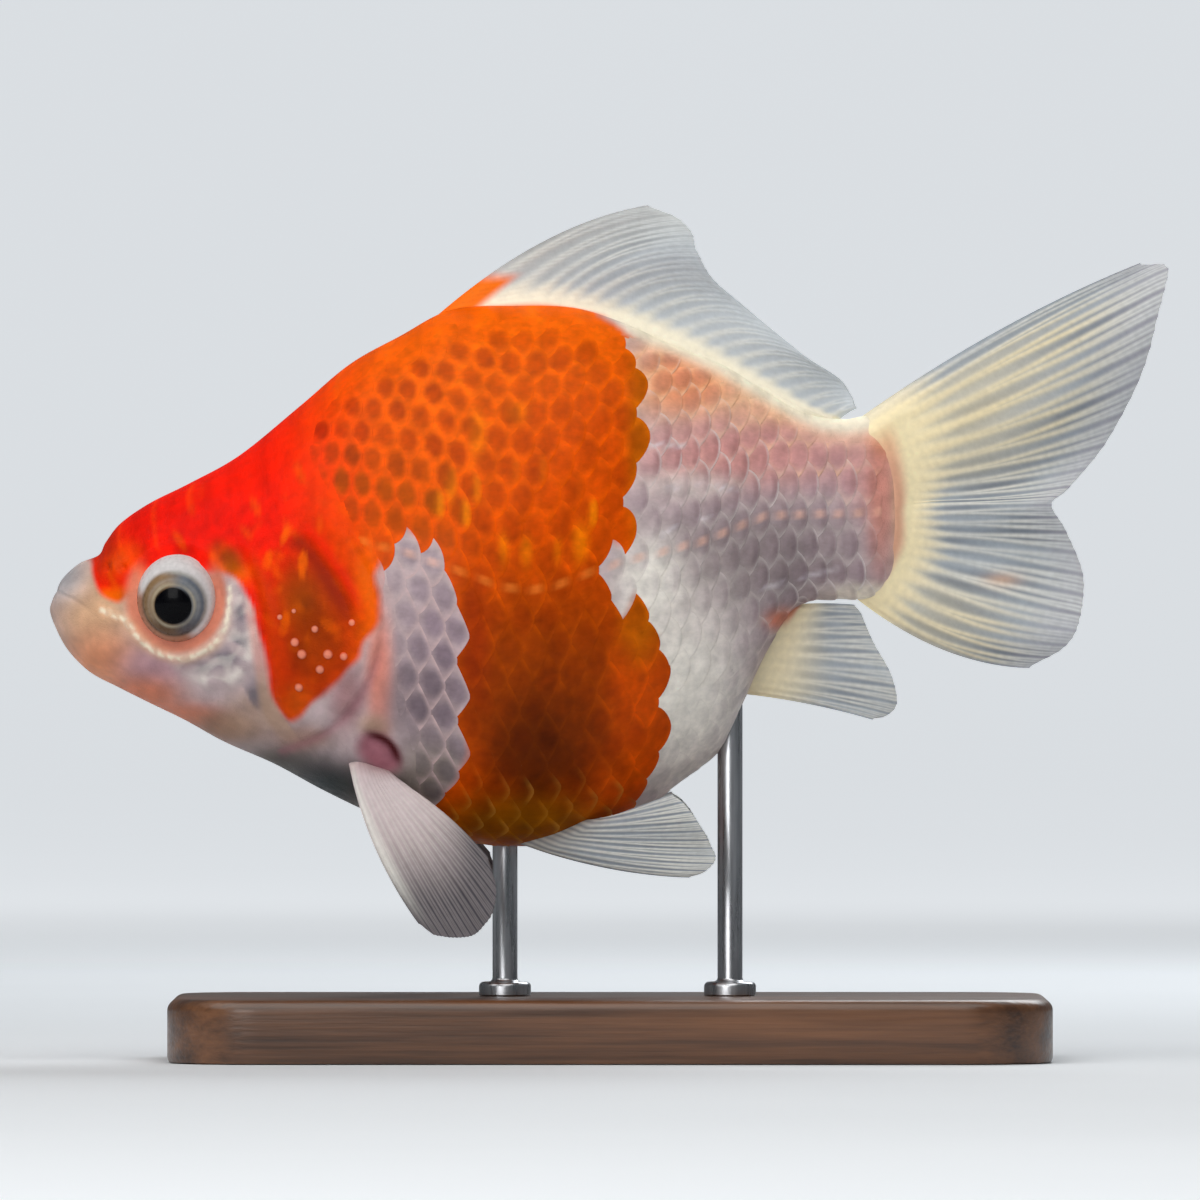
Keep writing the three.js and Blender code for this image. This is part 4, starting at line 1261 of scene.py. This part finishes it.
def scale_lift(scale, chance, q, w, cover):
    """How far a scale's top rises: arched across, lower at the very tip, and low on the belly."""
    flat = 0.5 * max(smooth(scale.x, 6, 1), smooth(scale.z, 42, 36))
    swell = (0.25 + 0.75 * cover / COAT_DEPTH) * (1 - flat) * (1 + 0.04 * chance)
    ramp = w ** 0.85 * np.where(w == 1, 0.86, 1.0)
    return COAT_DEPTH * swell * ramp * (1 - 0.4 * q ** 2)


def scale_colour(scale, x, surface, p, q, length, edge, cover, top_side):
    """A scale's own colours, which blend into the bare skin's at the ends and the top of the coat."""
    y, z = surface[..., 1], surface[..., 2]
    paint = orange_scale if scale.orange else pale_scale
    colour = paint(x, z, p / length, q, edge - p, scale)
    ends = smooth(scale.x, 21, 25) + smooth(scale.x, -17, -20) * (0.3 if scale.orange else 1)
    blend = BLEND + SOFT_ENDS * ends
    shown = smooth(cover, 0, 0.35 * COAT_DEPTH)
    if scale.inside < blend or scale.above < TOP_ROOM or shown.min() < 1:
        own = smooth(scale.inside, -0.6, blend) * (1 - top_side) * shown
        colour = mixed(skin_colour(x, y, z), colour, own)
    if not scale.orange:
        under = smooth(orange_depth(x, y, z), -0.2, 0.8)
        colour = mixed(colour, orange_tint(x, z), 0.5 * under * bell(edge - p, 0.5))
    return colour


def build_scales(side, flank, material):
    """Lays out each scale by its place p along and its share q across, tip and right edge positive."""
    long_steps, wide_steps = SCALE_GRID
    along, across = np.linspace(0, 1, long_steps), np.linspace(-1, 1, wide_steps)
    step, q = np.meshgrid(along, -side * across, indexing="ij")
    w = 1 - (1 - step) ** 1.5
    faces, ring = scale_faces()
    depth, hidden = coat_tables(flank)
    build = Build()
    for scale, tip_x, jitter, cell, share in place_scales(flank, np.random.default_rng(SEED + side)):
        length = pitch(tip_x)
        pointed = smooth(scale.z, 50, 44) * smooth(scale.x, 8, 0)
        edge = scale_outline(q, length, pointed)
        start = -SCALE_LENGTH * length
        p = start + (edge - start) * w
        half = SCALE_HALF_WIDTH * ROW * (1 + 0.02 * jitter[1])
        x = tip_x + p
        rise = scale.rise + 0.08 * jitter[2] + q * half * (1 - 0.12 * (1 - w)) + 0.05 * jitter[3] * p
        surface, outward = flank.at(x, rise)
        cover = flank.lookup(depth, x, rise)[..., 0]
        sunk = cover + flank.lookup(hidden, x, rise)[..., 0]
        top_side = smooth(q, 0.3, 0.8) * smooth(scale.above, TOP_ROOM, 0.9 * ROW)
        lift = scale_lift(scale, jitter[4], q, w, cover) * (1 - top_side) - sunk - ROOT_DEPTH
        if scale.x < SHOULDER_END:
            relief = head_relief(x, surface[..., 2])
            surface = surface + outward * relief[..., None]
        colour = scale_colour(scale, x, surface, p, q, length, edge, cover, top_side)
        # The lateral line's tubes are raised and carry a painted highlight.
        if scale.rise == 0:
            tube = bell(q * half, 0.26) * bell(p + 0.45 * length, 0.26 * length)
            lift = lift + TUBE_LIFT * tube
            colour = mixed(colour, TUBE_GLINT_ORANGE if scale.orange else TUBE_GLINT_PINK, 0.9 * tube)
        top = surface + outward * lift[..., None]
        low = surface - outward * (sunk + PLATE)[..., None]
        points = np.concatenate([top.reshape(-1, 3), low.reshape(-1, 3)[ring]])
        colour = colour.reshape(-1, 3)
        colour = np.concatenate([colour, colour[ring] * UNDER_SHADE])
        patch = (cell + np.stack([w - 0.5, q], -1) * share).reshape(-1, 2)
        patch = np.concatenate([patch, patch[ring]])
        build.add(points, colour, faces, patch[faces])
    scales = build.finish(f"scales_{SIDE_NAMES[side]}", material, sharp=math.radians(50))
    hand_over(scales, "orange_skin")


# ---------------------------------------------------------------- fins

SEGMENT = 0.9  # length of a fin ray's joints
RIM_THICKNESS = 0.26  # of a fin
ROOT_START = -0.1  # how far a fin reaches back into the flesh, as a share of its length
FIN_WHITE = srgb(228, 227, 219)
FIN_SILVER = srgb(206, 212, 216)
FIN_CREAM = srgb(246, 230, 188)
FIN_BASE_CREAM = srgb(255, 238, 194)
FIN_SMOKE = srgb(164, 172, 180)
FIN_SHADOW = srgb(124, 132, 142)
FIN_MAUVE = srgb(170, 166, 176)
FIN_PINK = srgb(204, 188, 190)
FIN_FLESH = srgb(212, 180, 180)
FIN_DUSK = srgb(40, 42, 52)
FIN_BLOT = srgb(236, 182, 138)
TAIL_BLOT = (39.2, 48.0)
TAIL_BLOT_REACH = (1.8, 0.7)


def fin_point(fin, side, u, v):
    """The middle of a fin: u runs from its first ray to its last and v from the base to the rim."""
    guides = np.array(fin["guides"])
    base, bend, tip = (through(guides[:, k], u) for k in range(3))
    v = v[..., None]
    point = base * (1 - v) ** 2 + bend * 2 * v * (1 - v) + tip * v ** 2
    v = v[..., 0]
    wave = fin["wave"] * v * np.sin(2 * math.pi * fin["ripples"] * u + v)
    sink = fin.get("sink", 0) * (0.5 + u) * smooth(v, 0.16, -0.06)
    point[..., 1] = side * (point[..., 1] + wave - sink)
    return point


def ray_pattern(u, v, rays):
    """1 on the bony rays and 0 on the membrane between them. Each ray forks twice on its way out."""
    cell = (u * rays) % 1.0 - 0.5
    fork = 0.21 * smooth(v, 0.2, 0.75)
    twig = 0.1 * smooth(v, 0.6, 1.0)
    width = 0.34 - 0.19 * smooth(v, 0.1, 0.5) - 0.06 * smooth(v, 0.5, 0.95)
    pattern = np.zeros_like(u)
    for first in (-1, 1):
        for second in (-1, 1):
            for wrap in (-1, 0, 1):
                pattern = np.maximum(pattern, bell(cell + wrap + first * fork + second * twig, width))
    return pattern


def streaks(u, v, rays, seed):
    """Long soft streaks between 0 and 1, one to three rays wide."""
    return 0.5 + 0.5 * np.clip(mottle(u * rays, v * 4, 1.1, seed), -1, 1)


def fin_reach(fin, u, v, random):
    """How much of its length each ray keeps: worn and notched ends, and rounded corners."""
    rays = fin["counts"][0]
    across = len(u)
    wear = np.interp(u[:, 0], np.linspace(0, 1, rays + 1), random.uniform(0, 0.009, rays + 1))
    notch = 0.003 * np.abs(np.sin(math.pi * rays * 2 * u[:, 0]))
    corner = 0.055 * (bell(u[:, 0], 0.045) + bell(1 - u[:, 0], 0.06))
    return 1 - (wear + notch + corner).reshape(across, 1) * smooth(v, 0.5, 1.0)


def fin_thickness(fin, u, v, pattern):
    """Thick where the fin grows out of the body, thin at the rim and towards its two outer rays."""
    rays = fin["counts"][0]
    out = np.maximum(v, 0)
    sides = np.minimum(u, 1 - u) * rays
    core = smooth(sides, -0.6, 2.4)
    thickness = RIM_THICKNESS + (fin["root"] - RIM_THICKNESS) * (1 - out) ** 3 * core
    thickness = thickness + fin.get("flare", 0) * (1 - out) ** 12 * core
    thickness = thickness + 0.14 * pattern * smooth(v, 0.04, 0.2) * (1 - 0.5 * out)
    return thickness * (0.35 + 0.65 * smooth(sides, 0, 0.5)) * (0.3 + 0.7 * smooth(v, 1.0, 0.96))


def sheet_faces(rows, columns):
    """Faces of a thin solid: two grids back to back and the edge between them."""
    faces, _ = grid_faces(rows, columns)
    sheet = rows * columns
    border = grid_border(rows, columns)[::-1]
    return np.concatenate([faces[:, ::-1], faces + sheet, skirt(border, border + sheet)])


def build_fin(name, fin, side, material, colour_at, node):
    """Makes one fin as a thin solid whose rays stand out on both sides."""
    rays, across_each, along_steps = fin["counts"]
    across = rays * across_each + 1
    start = fin.get("start", ROOT_START)
    u, v = np.meshgrid(np.linspace(0, 1, across), np.linspace(start, 1, along_steps), indexing="ij")
    reach = fin_reach(fin, u, v, np.random.default_rng(len(name)))
    middle = fin_point(fin, side, u, v * reach)
    normal = unit(np.cross(np.gradient(middle, axis=0), np.gradient(middle, axis=1)))
    pattern = ray_pattern(u, v, rays)
    half = normal * fin_thickness(fin, u, v, pattern)[..., None] / 2
    length = np.linalg.norm(np.diff(middle, axis=1), axis=-1)
    along = np.concatenate([np.zeros((across, 1)), np.cumsum(length, 1)], 1)
    streak = streaks(u, v, rays, fin["seed"])
    colours = colour_at(u, v, pattern, streak, middle)
    faces = sheet_faces(across, along_steps)
    place = np.stack([u * 0.49, (v - start) / (1 - start)], -1).reshape(-1, 2)
    place = np.concatenate([place, place + (0.51, 0)])
    build = Build()
    points = np.stack([middle - half, middle + half])
    colours, along, pattern = (np.stack([part, part]) for part in (colours, along, pattern))
    build.add(points, colours, faces, place[faces], Along=along, Ray=pattern)
    hand_over(build.finish(name, material, sharp=math.radians(70)), "fin", node)


def tail_colour(u, v, ray, streak, point):
    x, z = point[..., 0], point[..., 2]
    creamy = between(u, 0.03, 0.1, 0.24, 0.46) + 0.8 * smooth(u, 0.78, 0.9)
    membrane = layered(FIN_SMOKE, [
        (FIN_SHADOW, streak * smooth(v, 0.1, 0.35) * smooth(u, 0.04, 0.16)),
        (FIN_CREAM, 0.4 * creamy * smooth(v, 0.8, 0.3)),
        (FIN_MAUVE, 0.6 * smooth(v, 0.7, 1.0)),
    ])
    rays = mixed(FIN_WHITE, FIN_CREAM, creamy * smooth(v, 1.0, 0.6))
    rays = mixed(rays, FIN_SILVER, 0.6 * smooth(v, 0.6, 1.0))
    base = smooth(v, 0.26 + 0.1 * ray, 0.08) * (0.6 + 0.4 * smooth(u, 0.0, 0.08))
    flesh = smooth(v, 0.075, 0.01) * between(u, 0.06, 0.2, 0.85, 0.96)
    return layered(membrane, [
        (rays, ray * (0.55 + 0.3 * streak)),
        (FIN_BLOT, 0.45 * spot(x, z, TAIL_BLOT, TAIL_BLOT_REACH)),
        (FIN_BASE_CREAM, 0.95 * base),
        (mixed(PEACH, STEM_ROSE, 0.8 * smooth(u, 0.1, 0.3)), 0.8 * flesh),
    ])


def dorsal_colour(u, v, ray, streak, _point):
    dark = streak * between(v, 0.1, 0.35, 0.7, 1.0) * (1 - 0.7 * smooth(u, 0.1, 0.4))
    bone = mixed(FIN_WHITE, FIN_SILVER, smooth(v, 0.3, 0.9))
    front = smooth(v, 0.26, 0.16) * smooth(u, 0.06, 0.035)
    saddle = smooth(v, 0.04, -0.02) * smooth(u, 0.37, 0.33)
    return layered(FIN_SMOKE, [
        (FIN_SHADOW, dark),
        (FIN_SILVER, 0.6 * smooth(u, 0.1, 0.4)),
        (bone, ray * (0.45 + 0.3 * streak)),
        (FIN_WHITE, 0.4 * smooth(u, 0.3, 0.0)),
        (CREAM, smooth(v, 0.2 + 0.06 * ray, 0.03)),
        (mixed(ORANGE, AMBER, 0.5 * front), np.maximum(front, saddle)),
    ])


def anal_colour(u, v, ray, streak, _point):
    return layered(FIN_SMOKE, [
        (FIN_SHADOW, 0.6 * streak * smooth(v, 0.2, 0.5)),
        (FIN_WHITE, ray * (0.5 + 0.3 * streak)),
        (FIN_CREAM, 0.85 * smooth(v, 0.6, 0.1)),
        (SALMON, 0.8 * smooth(v, 0.12, 0.02) * smooth(u, 0.7, 0.9)),
    ])


def pelvic_colour(u, v, ray, streak, _point):
    return layered(FIN_SMOKE, [
        (FIN_SHADOW, 0.4 + 0.5 * streak),
        (FIN_WHITE, ray * (0.6 + 0.3 * streak)),
        (STONE, 0.4 * smooth(v, 0.35, 0.05)),
    ])


def pectoral_colour(u, v, ray, streak, _point):
    """Pink-white towards the root and dark and glassy towards the tip, with a pale front ray."""
    return layered(FIN_PINK, [
        (ASH, smooth(v, 0.2, 0.6) * (0.4 + 0.3 * streak)),
        (FIN_WHITE, 0.25 * ray * smooth(v, 0.1, 0.3)),
        (FIN_DUSK, 0.92 * smooth(v, 0.42, 0.86) * (1 - 0.25 * ray)),
        (FIN_WHITE, 0.6 * bell(u - 0.05, 0.06) * smooth(v, 1.0, 0.6)),
        (FIN_FLESH, 0.8 * smooth(v, 0.16, 0.02)),
    ])


def build_fins(material):
    build_fin("dorsal_fin", DORSAL_FIN, RIGHT, material, dorsal_colour, "fin_dorsal")
    build_fin("tail_fin", TAIL_FIN, RIGHT, material, tail_colour, "fin_tail")
    build_fin("anal_fin", ANAL_FIN, RIGHT, material, anal_colour, "fin_anal")
    pairs = (("pectoral", PECTORAL_FIN, pectoral_colour), ("pelvic", PELVIC_FIN, pelvic_colour))
    for side, word in SIDE_NAMES.items():
        for kind, fin, colour_at in pairs:
            build_fin(f"{kind}_fin_{word}", fin, side, material, colour_at, f"fin_{kind}_{word}")


# ---------------------------------------------------------------- eyes and tubercles

PUPIL, INNER_RING, IRIS = 0.475, 0.54, 0.84  # radii, as shares of EYE_MEAN
EYE_MEAN = 4.1  # the radius at which rings round the pupil reach 1
GAZE_DOWN, GAZE_FORWARD = 0.19, -0.1  # radians past the globe's own turn
EYE_GRID = (72, 96)
EYE_WHITE = srgb(208, 204, 204)
EYE_FLESH = srgb(168, 116, 92)
IRIS_GOLD = srgb(136, 108, 78)
IRIS_GREY = srgb(98, 104, 114)
IRIS_PALE = srgb(172, 172, 166)
IRIS_BROWN = srgb(92, 68, 52)
INNER_GOLD = srgb(176, 168, 146)
OUTLINE_BROWN = srgb(84, 70, 60)
PUPIL_BLACK = srgb(3, 3, 6)


def eye_profile(radius, ring):
    """The globe's relief: a slightly sunk iris, a faint step at the pupil and a raised rim."""
    lens = 0.975 - 0.04 * radius ** 2
    step = 0.006 * smooth(ring, PUPIL - 0.03, PUPIL + 0.03)
    groove = 0.012 * bell(ring - IRIS, 0.05)
    rim = 0.045 * smooth(ring, IRIS - 0.03, IRIS + 0.12)
    return np.minimum(lens + step - groove + rim, 1.0)


def eye_colour(ring, heading):
    """Black pupil, gold and blue-grey iris, and a white rim that is wide above and behind."""
    rear = smooth(np.cos(heading), -0.4, 0.5)
    low = smooth(np.sin(heading), -0.3, -0.9)
    soft = 0.5 + 0.5 * np.sin(3 * heading + 1.0)
    above = smooth(np.cos(heading - math.radians(30)), -0.1, 0.7)
    white = smooth(np.cos(heading - math.radians(52)), -0.6, -0.2)
    return layered(IRIS_GOLD, [
        (IRIS_GREY, rear),
        (IRIS_BROWN, 0.8 * low * (1 - 0.5 * rear)),
        (IRIS_PALE, 0.35 * bell(ring - 0.64, 0.05) * (1 - low) * (0.5 + 0.5 * soft)),
        (IRIS_PALE, 0.75 * above * smooth(ring, 0.73, 0.82)),
        (mixed(EYE_FLESH, EYE_WHITE, white), smooth(ring, IRIS - 0.04, IRIS + 0.05)),
        (OUTLINE_BROWN, (0.1 + 0.6 * (1 - white)) * bell(ring - IRIS + 0.02, 0.04)),
        (INNER_GOLD, (0.4 + 0.4 * soft) * bell(ring - INNER_RING, 0.04)),
        (PUPIL_BLACK, smooth(ring, PUPIL + 0.025, PUPIL - 0.015)),
    ])


def turned(first, second, angle):
    """Two coordinates turned by an angle from the first towards the second."""
    cosine, sine = math.cos(angle), math.sin(angle)
    return first * cosine - second * sine, second * cosine + first * sine


def build_eye(side, material):
    """Makes one eye as a ball whose pole, the middle of the pupil, looks outwards."""
    steps, around = EYE_GRID
    bends = np.linspace(0.001, math.pi * 0.98, steps)
    bend, heading = np.meshgrid(bends, turns(around), indexing="ij")
    if side == LEFT:
        heading = heading[:, ::-1]
    front = bend < math.pi / 2
    radius = np.where(front, np.sin(bend), 2 - np.sin(bend))
    wide = np.hypot(EYE_RADII[0] * np.cos(heading), EYE_RADII[2] * np.sin(heading)) / EYE_MEAN
    ring = radius * wide
    size = np.where(front, eye_profile(radius, ring), 1.0)
    x = size * np.sin(bend) * np.cos(heading)
    z = size * np.sin(bend) * np.sin(heading)
    y, z = turned(size * np.cos(bend), z, -GAZE_DOWN)
    x, y = turned(x, y, GAZE_FORWARD)
    x, y, z = x * EYE_RADII[0], y * EYE_RADII[1], z * EYE_RADII[2]
    x, y = turned(x, y, EYE_TURN)
    points = np.stack([EYE_CENTRE[0] + x, side * (EYE_CENTRE[1] + y), EYE_CENTRE[2] + z], -1)
    build = Build()
    build.tube(points, eye_colour(ring, heading))
    eye = build.finish(f"eye_globe_{SIDE_NAMES[side]}", material)
    hand_over(eye, "eye", f"eye_{SIDE_NAMES[side]}")


TUBERCLE_TIP = srgb(250, 150, 122)
TUBERCLE_GRID = (6, 16)
TUBERCLE_HEIGHT = 0.4  # as a share of the radius
# Breeding tubercles on the gill covers: small raised dots, [x, z, radius].
TUBERCLES = [
    (-32.8, 44.3, 0.3), (-31.4, 44.9, 0.26), (-29.3, 43.1, 0.38), (-31.3, 41.8, 0.46),
    (-30.6, 40.6, 0.5), (-28.0, 40.6, 0.5), (-26.4, 40.4, 0.42), (-28.8, 39.1, 0.46),
    (-30.9, 37.3, 0.46), (-25.6, 43.8, 0.36),
]


def build_tubercles(side, flank, material):
    rings, around = TUBERCLE_GRID
    bends = np.linspace(0, math.pi / 2 - 0.02, rings)
    bend, turn = np.meshgrid(bends, turns(around), indexing="ij")
    rise = np.sin(bend)
    build = Build()
    for x, z, radius in TUBERCLES:
        spot_x, spot_z = np.array([x]), np.array([z])
        surface, outward = flank.at(spot_x, np.array([flank.rise_at(x, z)]))
        outward = outward[0]
        centre = surface[0] + outward * (head_relief(spot_x, spot_z)[0] - 0.06)
        first = unit(np.cross(outward, [0, 0, 1]))
        second = np.cross(outward, first)
        ring = np.cos(turn)[..., None] * first + np.sin(turn)[..., None] * second
        dome = np.cos(bend)[..., None] * ring + TUBERCLE_HEIGHT * rise[..., None] * outward
        colours = mixed(orange_tint(spot_x, spot_z), TUBERCLE_TIP, 0.9 * smooth(rise, 0.3, 1.0))
        build.tube(centre + 1.1 * radius * dome, colours)
    hand_over(build.finish(f"tubercles_{SIDE_NAMES[side]}", material), "pale_skin")


# ---------------------------------------------------------------- stand


ROD_RADIUS = 1.25
ROD_TOP_ROUNDING = 0.6
ROD_SIDES = 64
BOARD_CORNER = 9.0
BOARD_ROUNDING = 1.2
BOARD_FOOT = [(0.6, 0.0), (0.15, 0.12), (0.0, 0.6)]  # (inset, z)
STEEL_TINT = np.array([0.5, 0.5, 0.5])
WOOD_TINT = np.array([0.3, 0.2, 0.1])


def build_rod(name, material):
    low, high = node_box(name)
    x = (low[0] + high[0]) / 2
    collar = (high[0] - low[0]) / 2
    foot = node_box("stand_base")[1][2] + 0.05
    profile = [(ROD_RADIUS, low[2]), (ROD_RADIUS, foot), (collar - 0.1, foot), (collar, foot + 0.1)]
    profile += arc((collar - 0.5, foot + 0.9), 0.5, 0, 90, 7)
    profile += arc((ROD_RADIUS + 0.4, foot + 1.8), 0.4, 270, 180, 6)
    top_centre = (ROD_RADIUS - ROD_TOP_ROUNDING, high[2] - ROD_TOP_ROUNDING)
    profile += arc(top_centre, ROD_TOP_ROUNDING, 0, 80, 6)
    build = Build()
    build.tube(turned_rings(profile, x, ROD_SIDES), STEEL_TINT)
    rod = build.finish(name.replace("stand_", "stand_steel_"), material, sharp=math.radians(40))
    hand_over(rod, "steel", name)


def rounded_outline(half_length, half_width, corner, steps=14):
    outline = []
    for quarter, (sign_x, sign_y) in enumerate(((1, 1), (-1, 1), (-1, -1), (1, -1))):
        centre = (sign_x * (half_length - corner), sign_y * (half_width - corner))
        outline += arc(centre, corner, 90 * quarter, 90 * quarter + 90, steps)
    return np.array(outline)


def build_base(material):
    low, high = node_box("stand_base")
    middle = (low + high) / 2
    half_length, half_width, _ = (high - low) / 2
    rounding = arc((0, high[2] - BOARD_ROUNDING), BOARD_ROUNDING, 0, 90, 10)
    profile = BOARD_FOOT + [(BOARD_ROUNDING - a, z) for a, z in rounding]
    rings = []
    for inset, z in profile:
        outline = rounded_outline(half_length - inset, half_width - inset, BOARD_CORNER - inset)
        rings.append(np.column_stack([outline + middle[:2], np.full(len(outline), z)]))
    build = Build()
    build.tube(np.array(rings), WOOD_TINT)
    sides = (0.49, 1)
    build.places[0] = build.places[0] * sides
    build.places[-1] = (0.51, 0) + (rings[-1][:, :2] - low[:2]) / (high[:2] - low[:2]) * sides
    base = build.finish("stand_board", material, sharp=math.radians(35))
    hand_over(base, "wood", "stand_base")


# ---------------------------------------------------------------- studio

VIEW_WIDTH = 0.12
VIEW_CENTRE = Vector((-0.001, 0, 0.046))
CAMERA_DISTANCE = 2.0
SENSOR = 36
SKY = (0.9, 0.95, 1.0, 1)
SKY_STRENGTH = 0.12
# Each light's place, the height it aims at over the model's middle, its size, power and tint.
LIGHTS = {
    "top_softbox": ((-0.15, -0.28, 0.6), 0.045, (0.9, 0.7), 4.25, (1.0, 0.98, 0.95)),
    "front_fill": ((-0.42, -1.15, 0.34), 0.045, (0.55, 0.5), 3.7, (1.0, 0.99, 0.98)),
    "rear_rim": ((0.2, 0.42, 0.4), 0.05, (0.4, 0.3), 1.8, (0.95, 0.98, 1.0)),
}
STUDIO_SIDES = 96
NEAR_FLOOR = 350  # radius of the floor that throws light back at the model, in mm
WALL_FOOT, WALL_CURVE, WALL_TOP = 3800, 600, 4000
GLOW = 0.66  # how brightly the far floor and the wall shine, for views from every side
GLOW_START, GLOW_END = 100, 1100


def stage_ring(name, profile, material):
    """A round part of the studio from a profile of (radius, z). It shines more further out."""
    rings = turned_rings(profile, 0, STUDIO_SIDES)
    radius = np.array(profile, float)[:, :1]
    glow = np.repeat(GLOW * smooth(radius, GLOW_START, GLOW_END), STUDIO_SIDES, axis=1)
    build = Build()
    build.tube(rings, np.ones(3), flipped=True, capped=False, Glow=glow)
    piece = build.finish(name, material)
    return piece


def build_floor(material):
    """A round floor that curves up into a wall. Only its middle throws light back at the model."""
    stage_ring("studio_floor", [(r, 0) for r in np.linspace(1, NEAR_FLOOR, 12)], material)
    profile = [(r, 0) for r in np.linspace(NEAR_FLOOR, WALL_FOOT, 40)]
    profile += arc((WALL_FOOT, WALL_CURVE), WALL_CURVE, -80, 0, 14)
    profile += [(WALL_FOOT + WALL_CURVE, WALL_TOP)]
    backdrop = stage_ring("studio_backdrop", profile, material)
    for ray in ("diffuse", "glossy", "transmission", "shadow"):
        setattr(backdrop, "visible_" + ray, False)


def add_light(name, place, aim_height, size, power, tint):
    data = bpy.data.lights.new(name, "AREA")
    data.shape = "RECTANGLE"
    data.size, data.size_y = size
    data.energy = power
    data.color = tint
    light = bpy.data.objects.new(name, data)
    light.visible_camera = False
    light.location = place
    direction = Vector((0, 0, aim_height)) - Vector(place)
    light.rotation_euler = direction.to_track_quat("-Z", "Y").to_euler()
    bpy.context.scene.collection.objects.link(light)


def build_camera(scene):
    data = bpy.data.cameras.new("photo_view")
    data.sensor_width = SENSOR
    data.lens = SENSOR * CAMERA_DISTANCE / VIEW_WIDTH
    data.clip_start = 0.01
    camera = bpy.data.objects.new("photo_view", data)
    camera.location = VIEW_CENTRE - Vector((0, CAMERA_DISTANCE, 0))
    camera.rotation_euler = (math.pi / 2, 0, 0)
    scene.collection.objects.link(camera)
    scene.camera = camera


def build_studio():
    scene = bpy.context.scene
    build_camera(scene)
    world = bpy.data.worlds.new("studio")
    world.use_nodes = True
    background = world.node_tree.nodes["Background"]
    background.inputs["Color"].default_value = SKY
    background.inputs["Strength"].default_value = SKY_STRENGTH
    scene.world = world
    scene.view_settings.view_transform = "Standard"
    for name, settings in LIGHTS.items():
        add_light(name, *settings)


# ---------------------------------------------------------------- the model

build_studio()
build_floor(floor_material())
hide = skin_material()
build_skin(hide)
coat = scale_material()
for one_side in SIDE_NAMES:
    half_body = Flank(one_side)
    build_scales(one_side, half_body, coat)
    build_tubercles(one_side, half_body, hide)
build_fins(fin_material())
globe = eye_material()
for one_side in SIDE_NAMES:
    build_eye(one_side, globe)
build_base(wood_material())
steel = steel_material()
for rod_name in ("stand_rod_front", "stand_rod_rear"):
    build_rod(rod_name, steel)
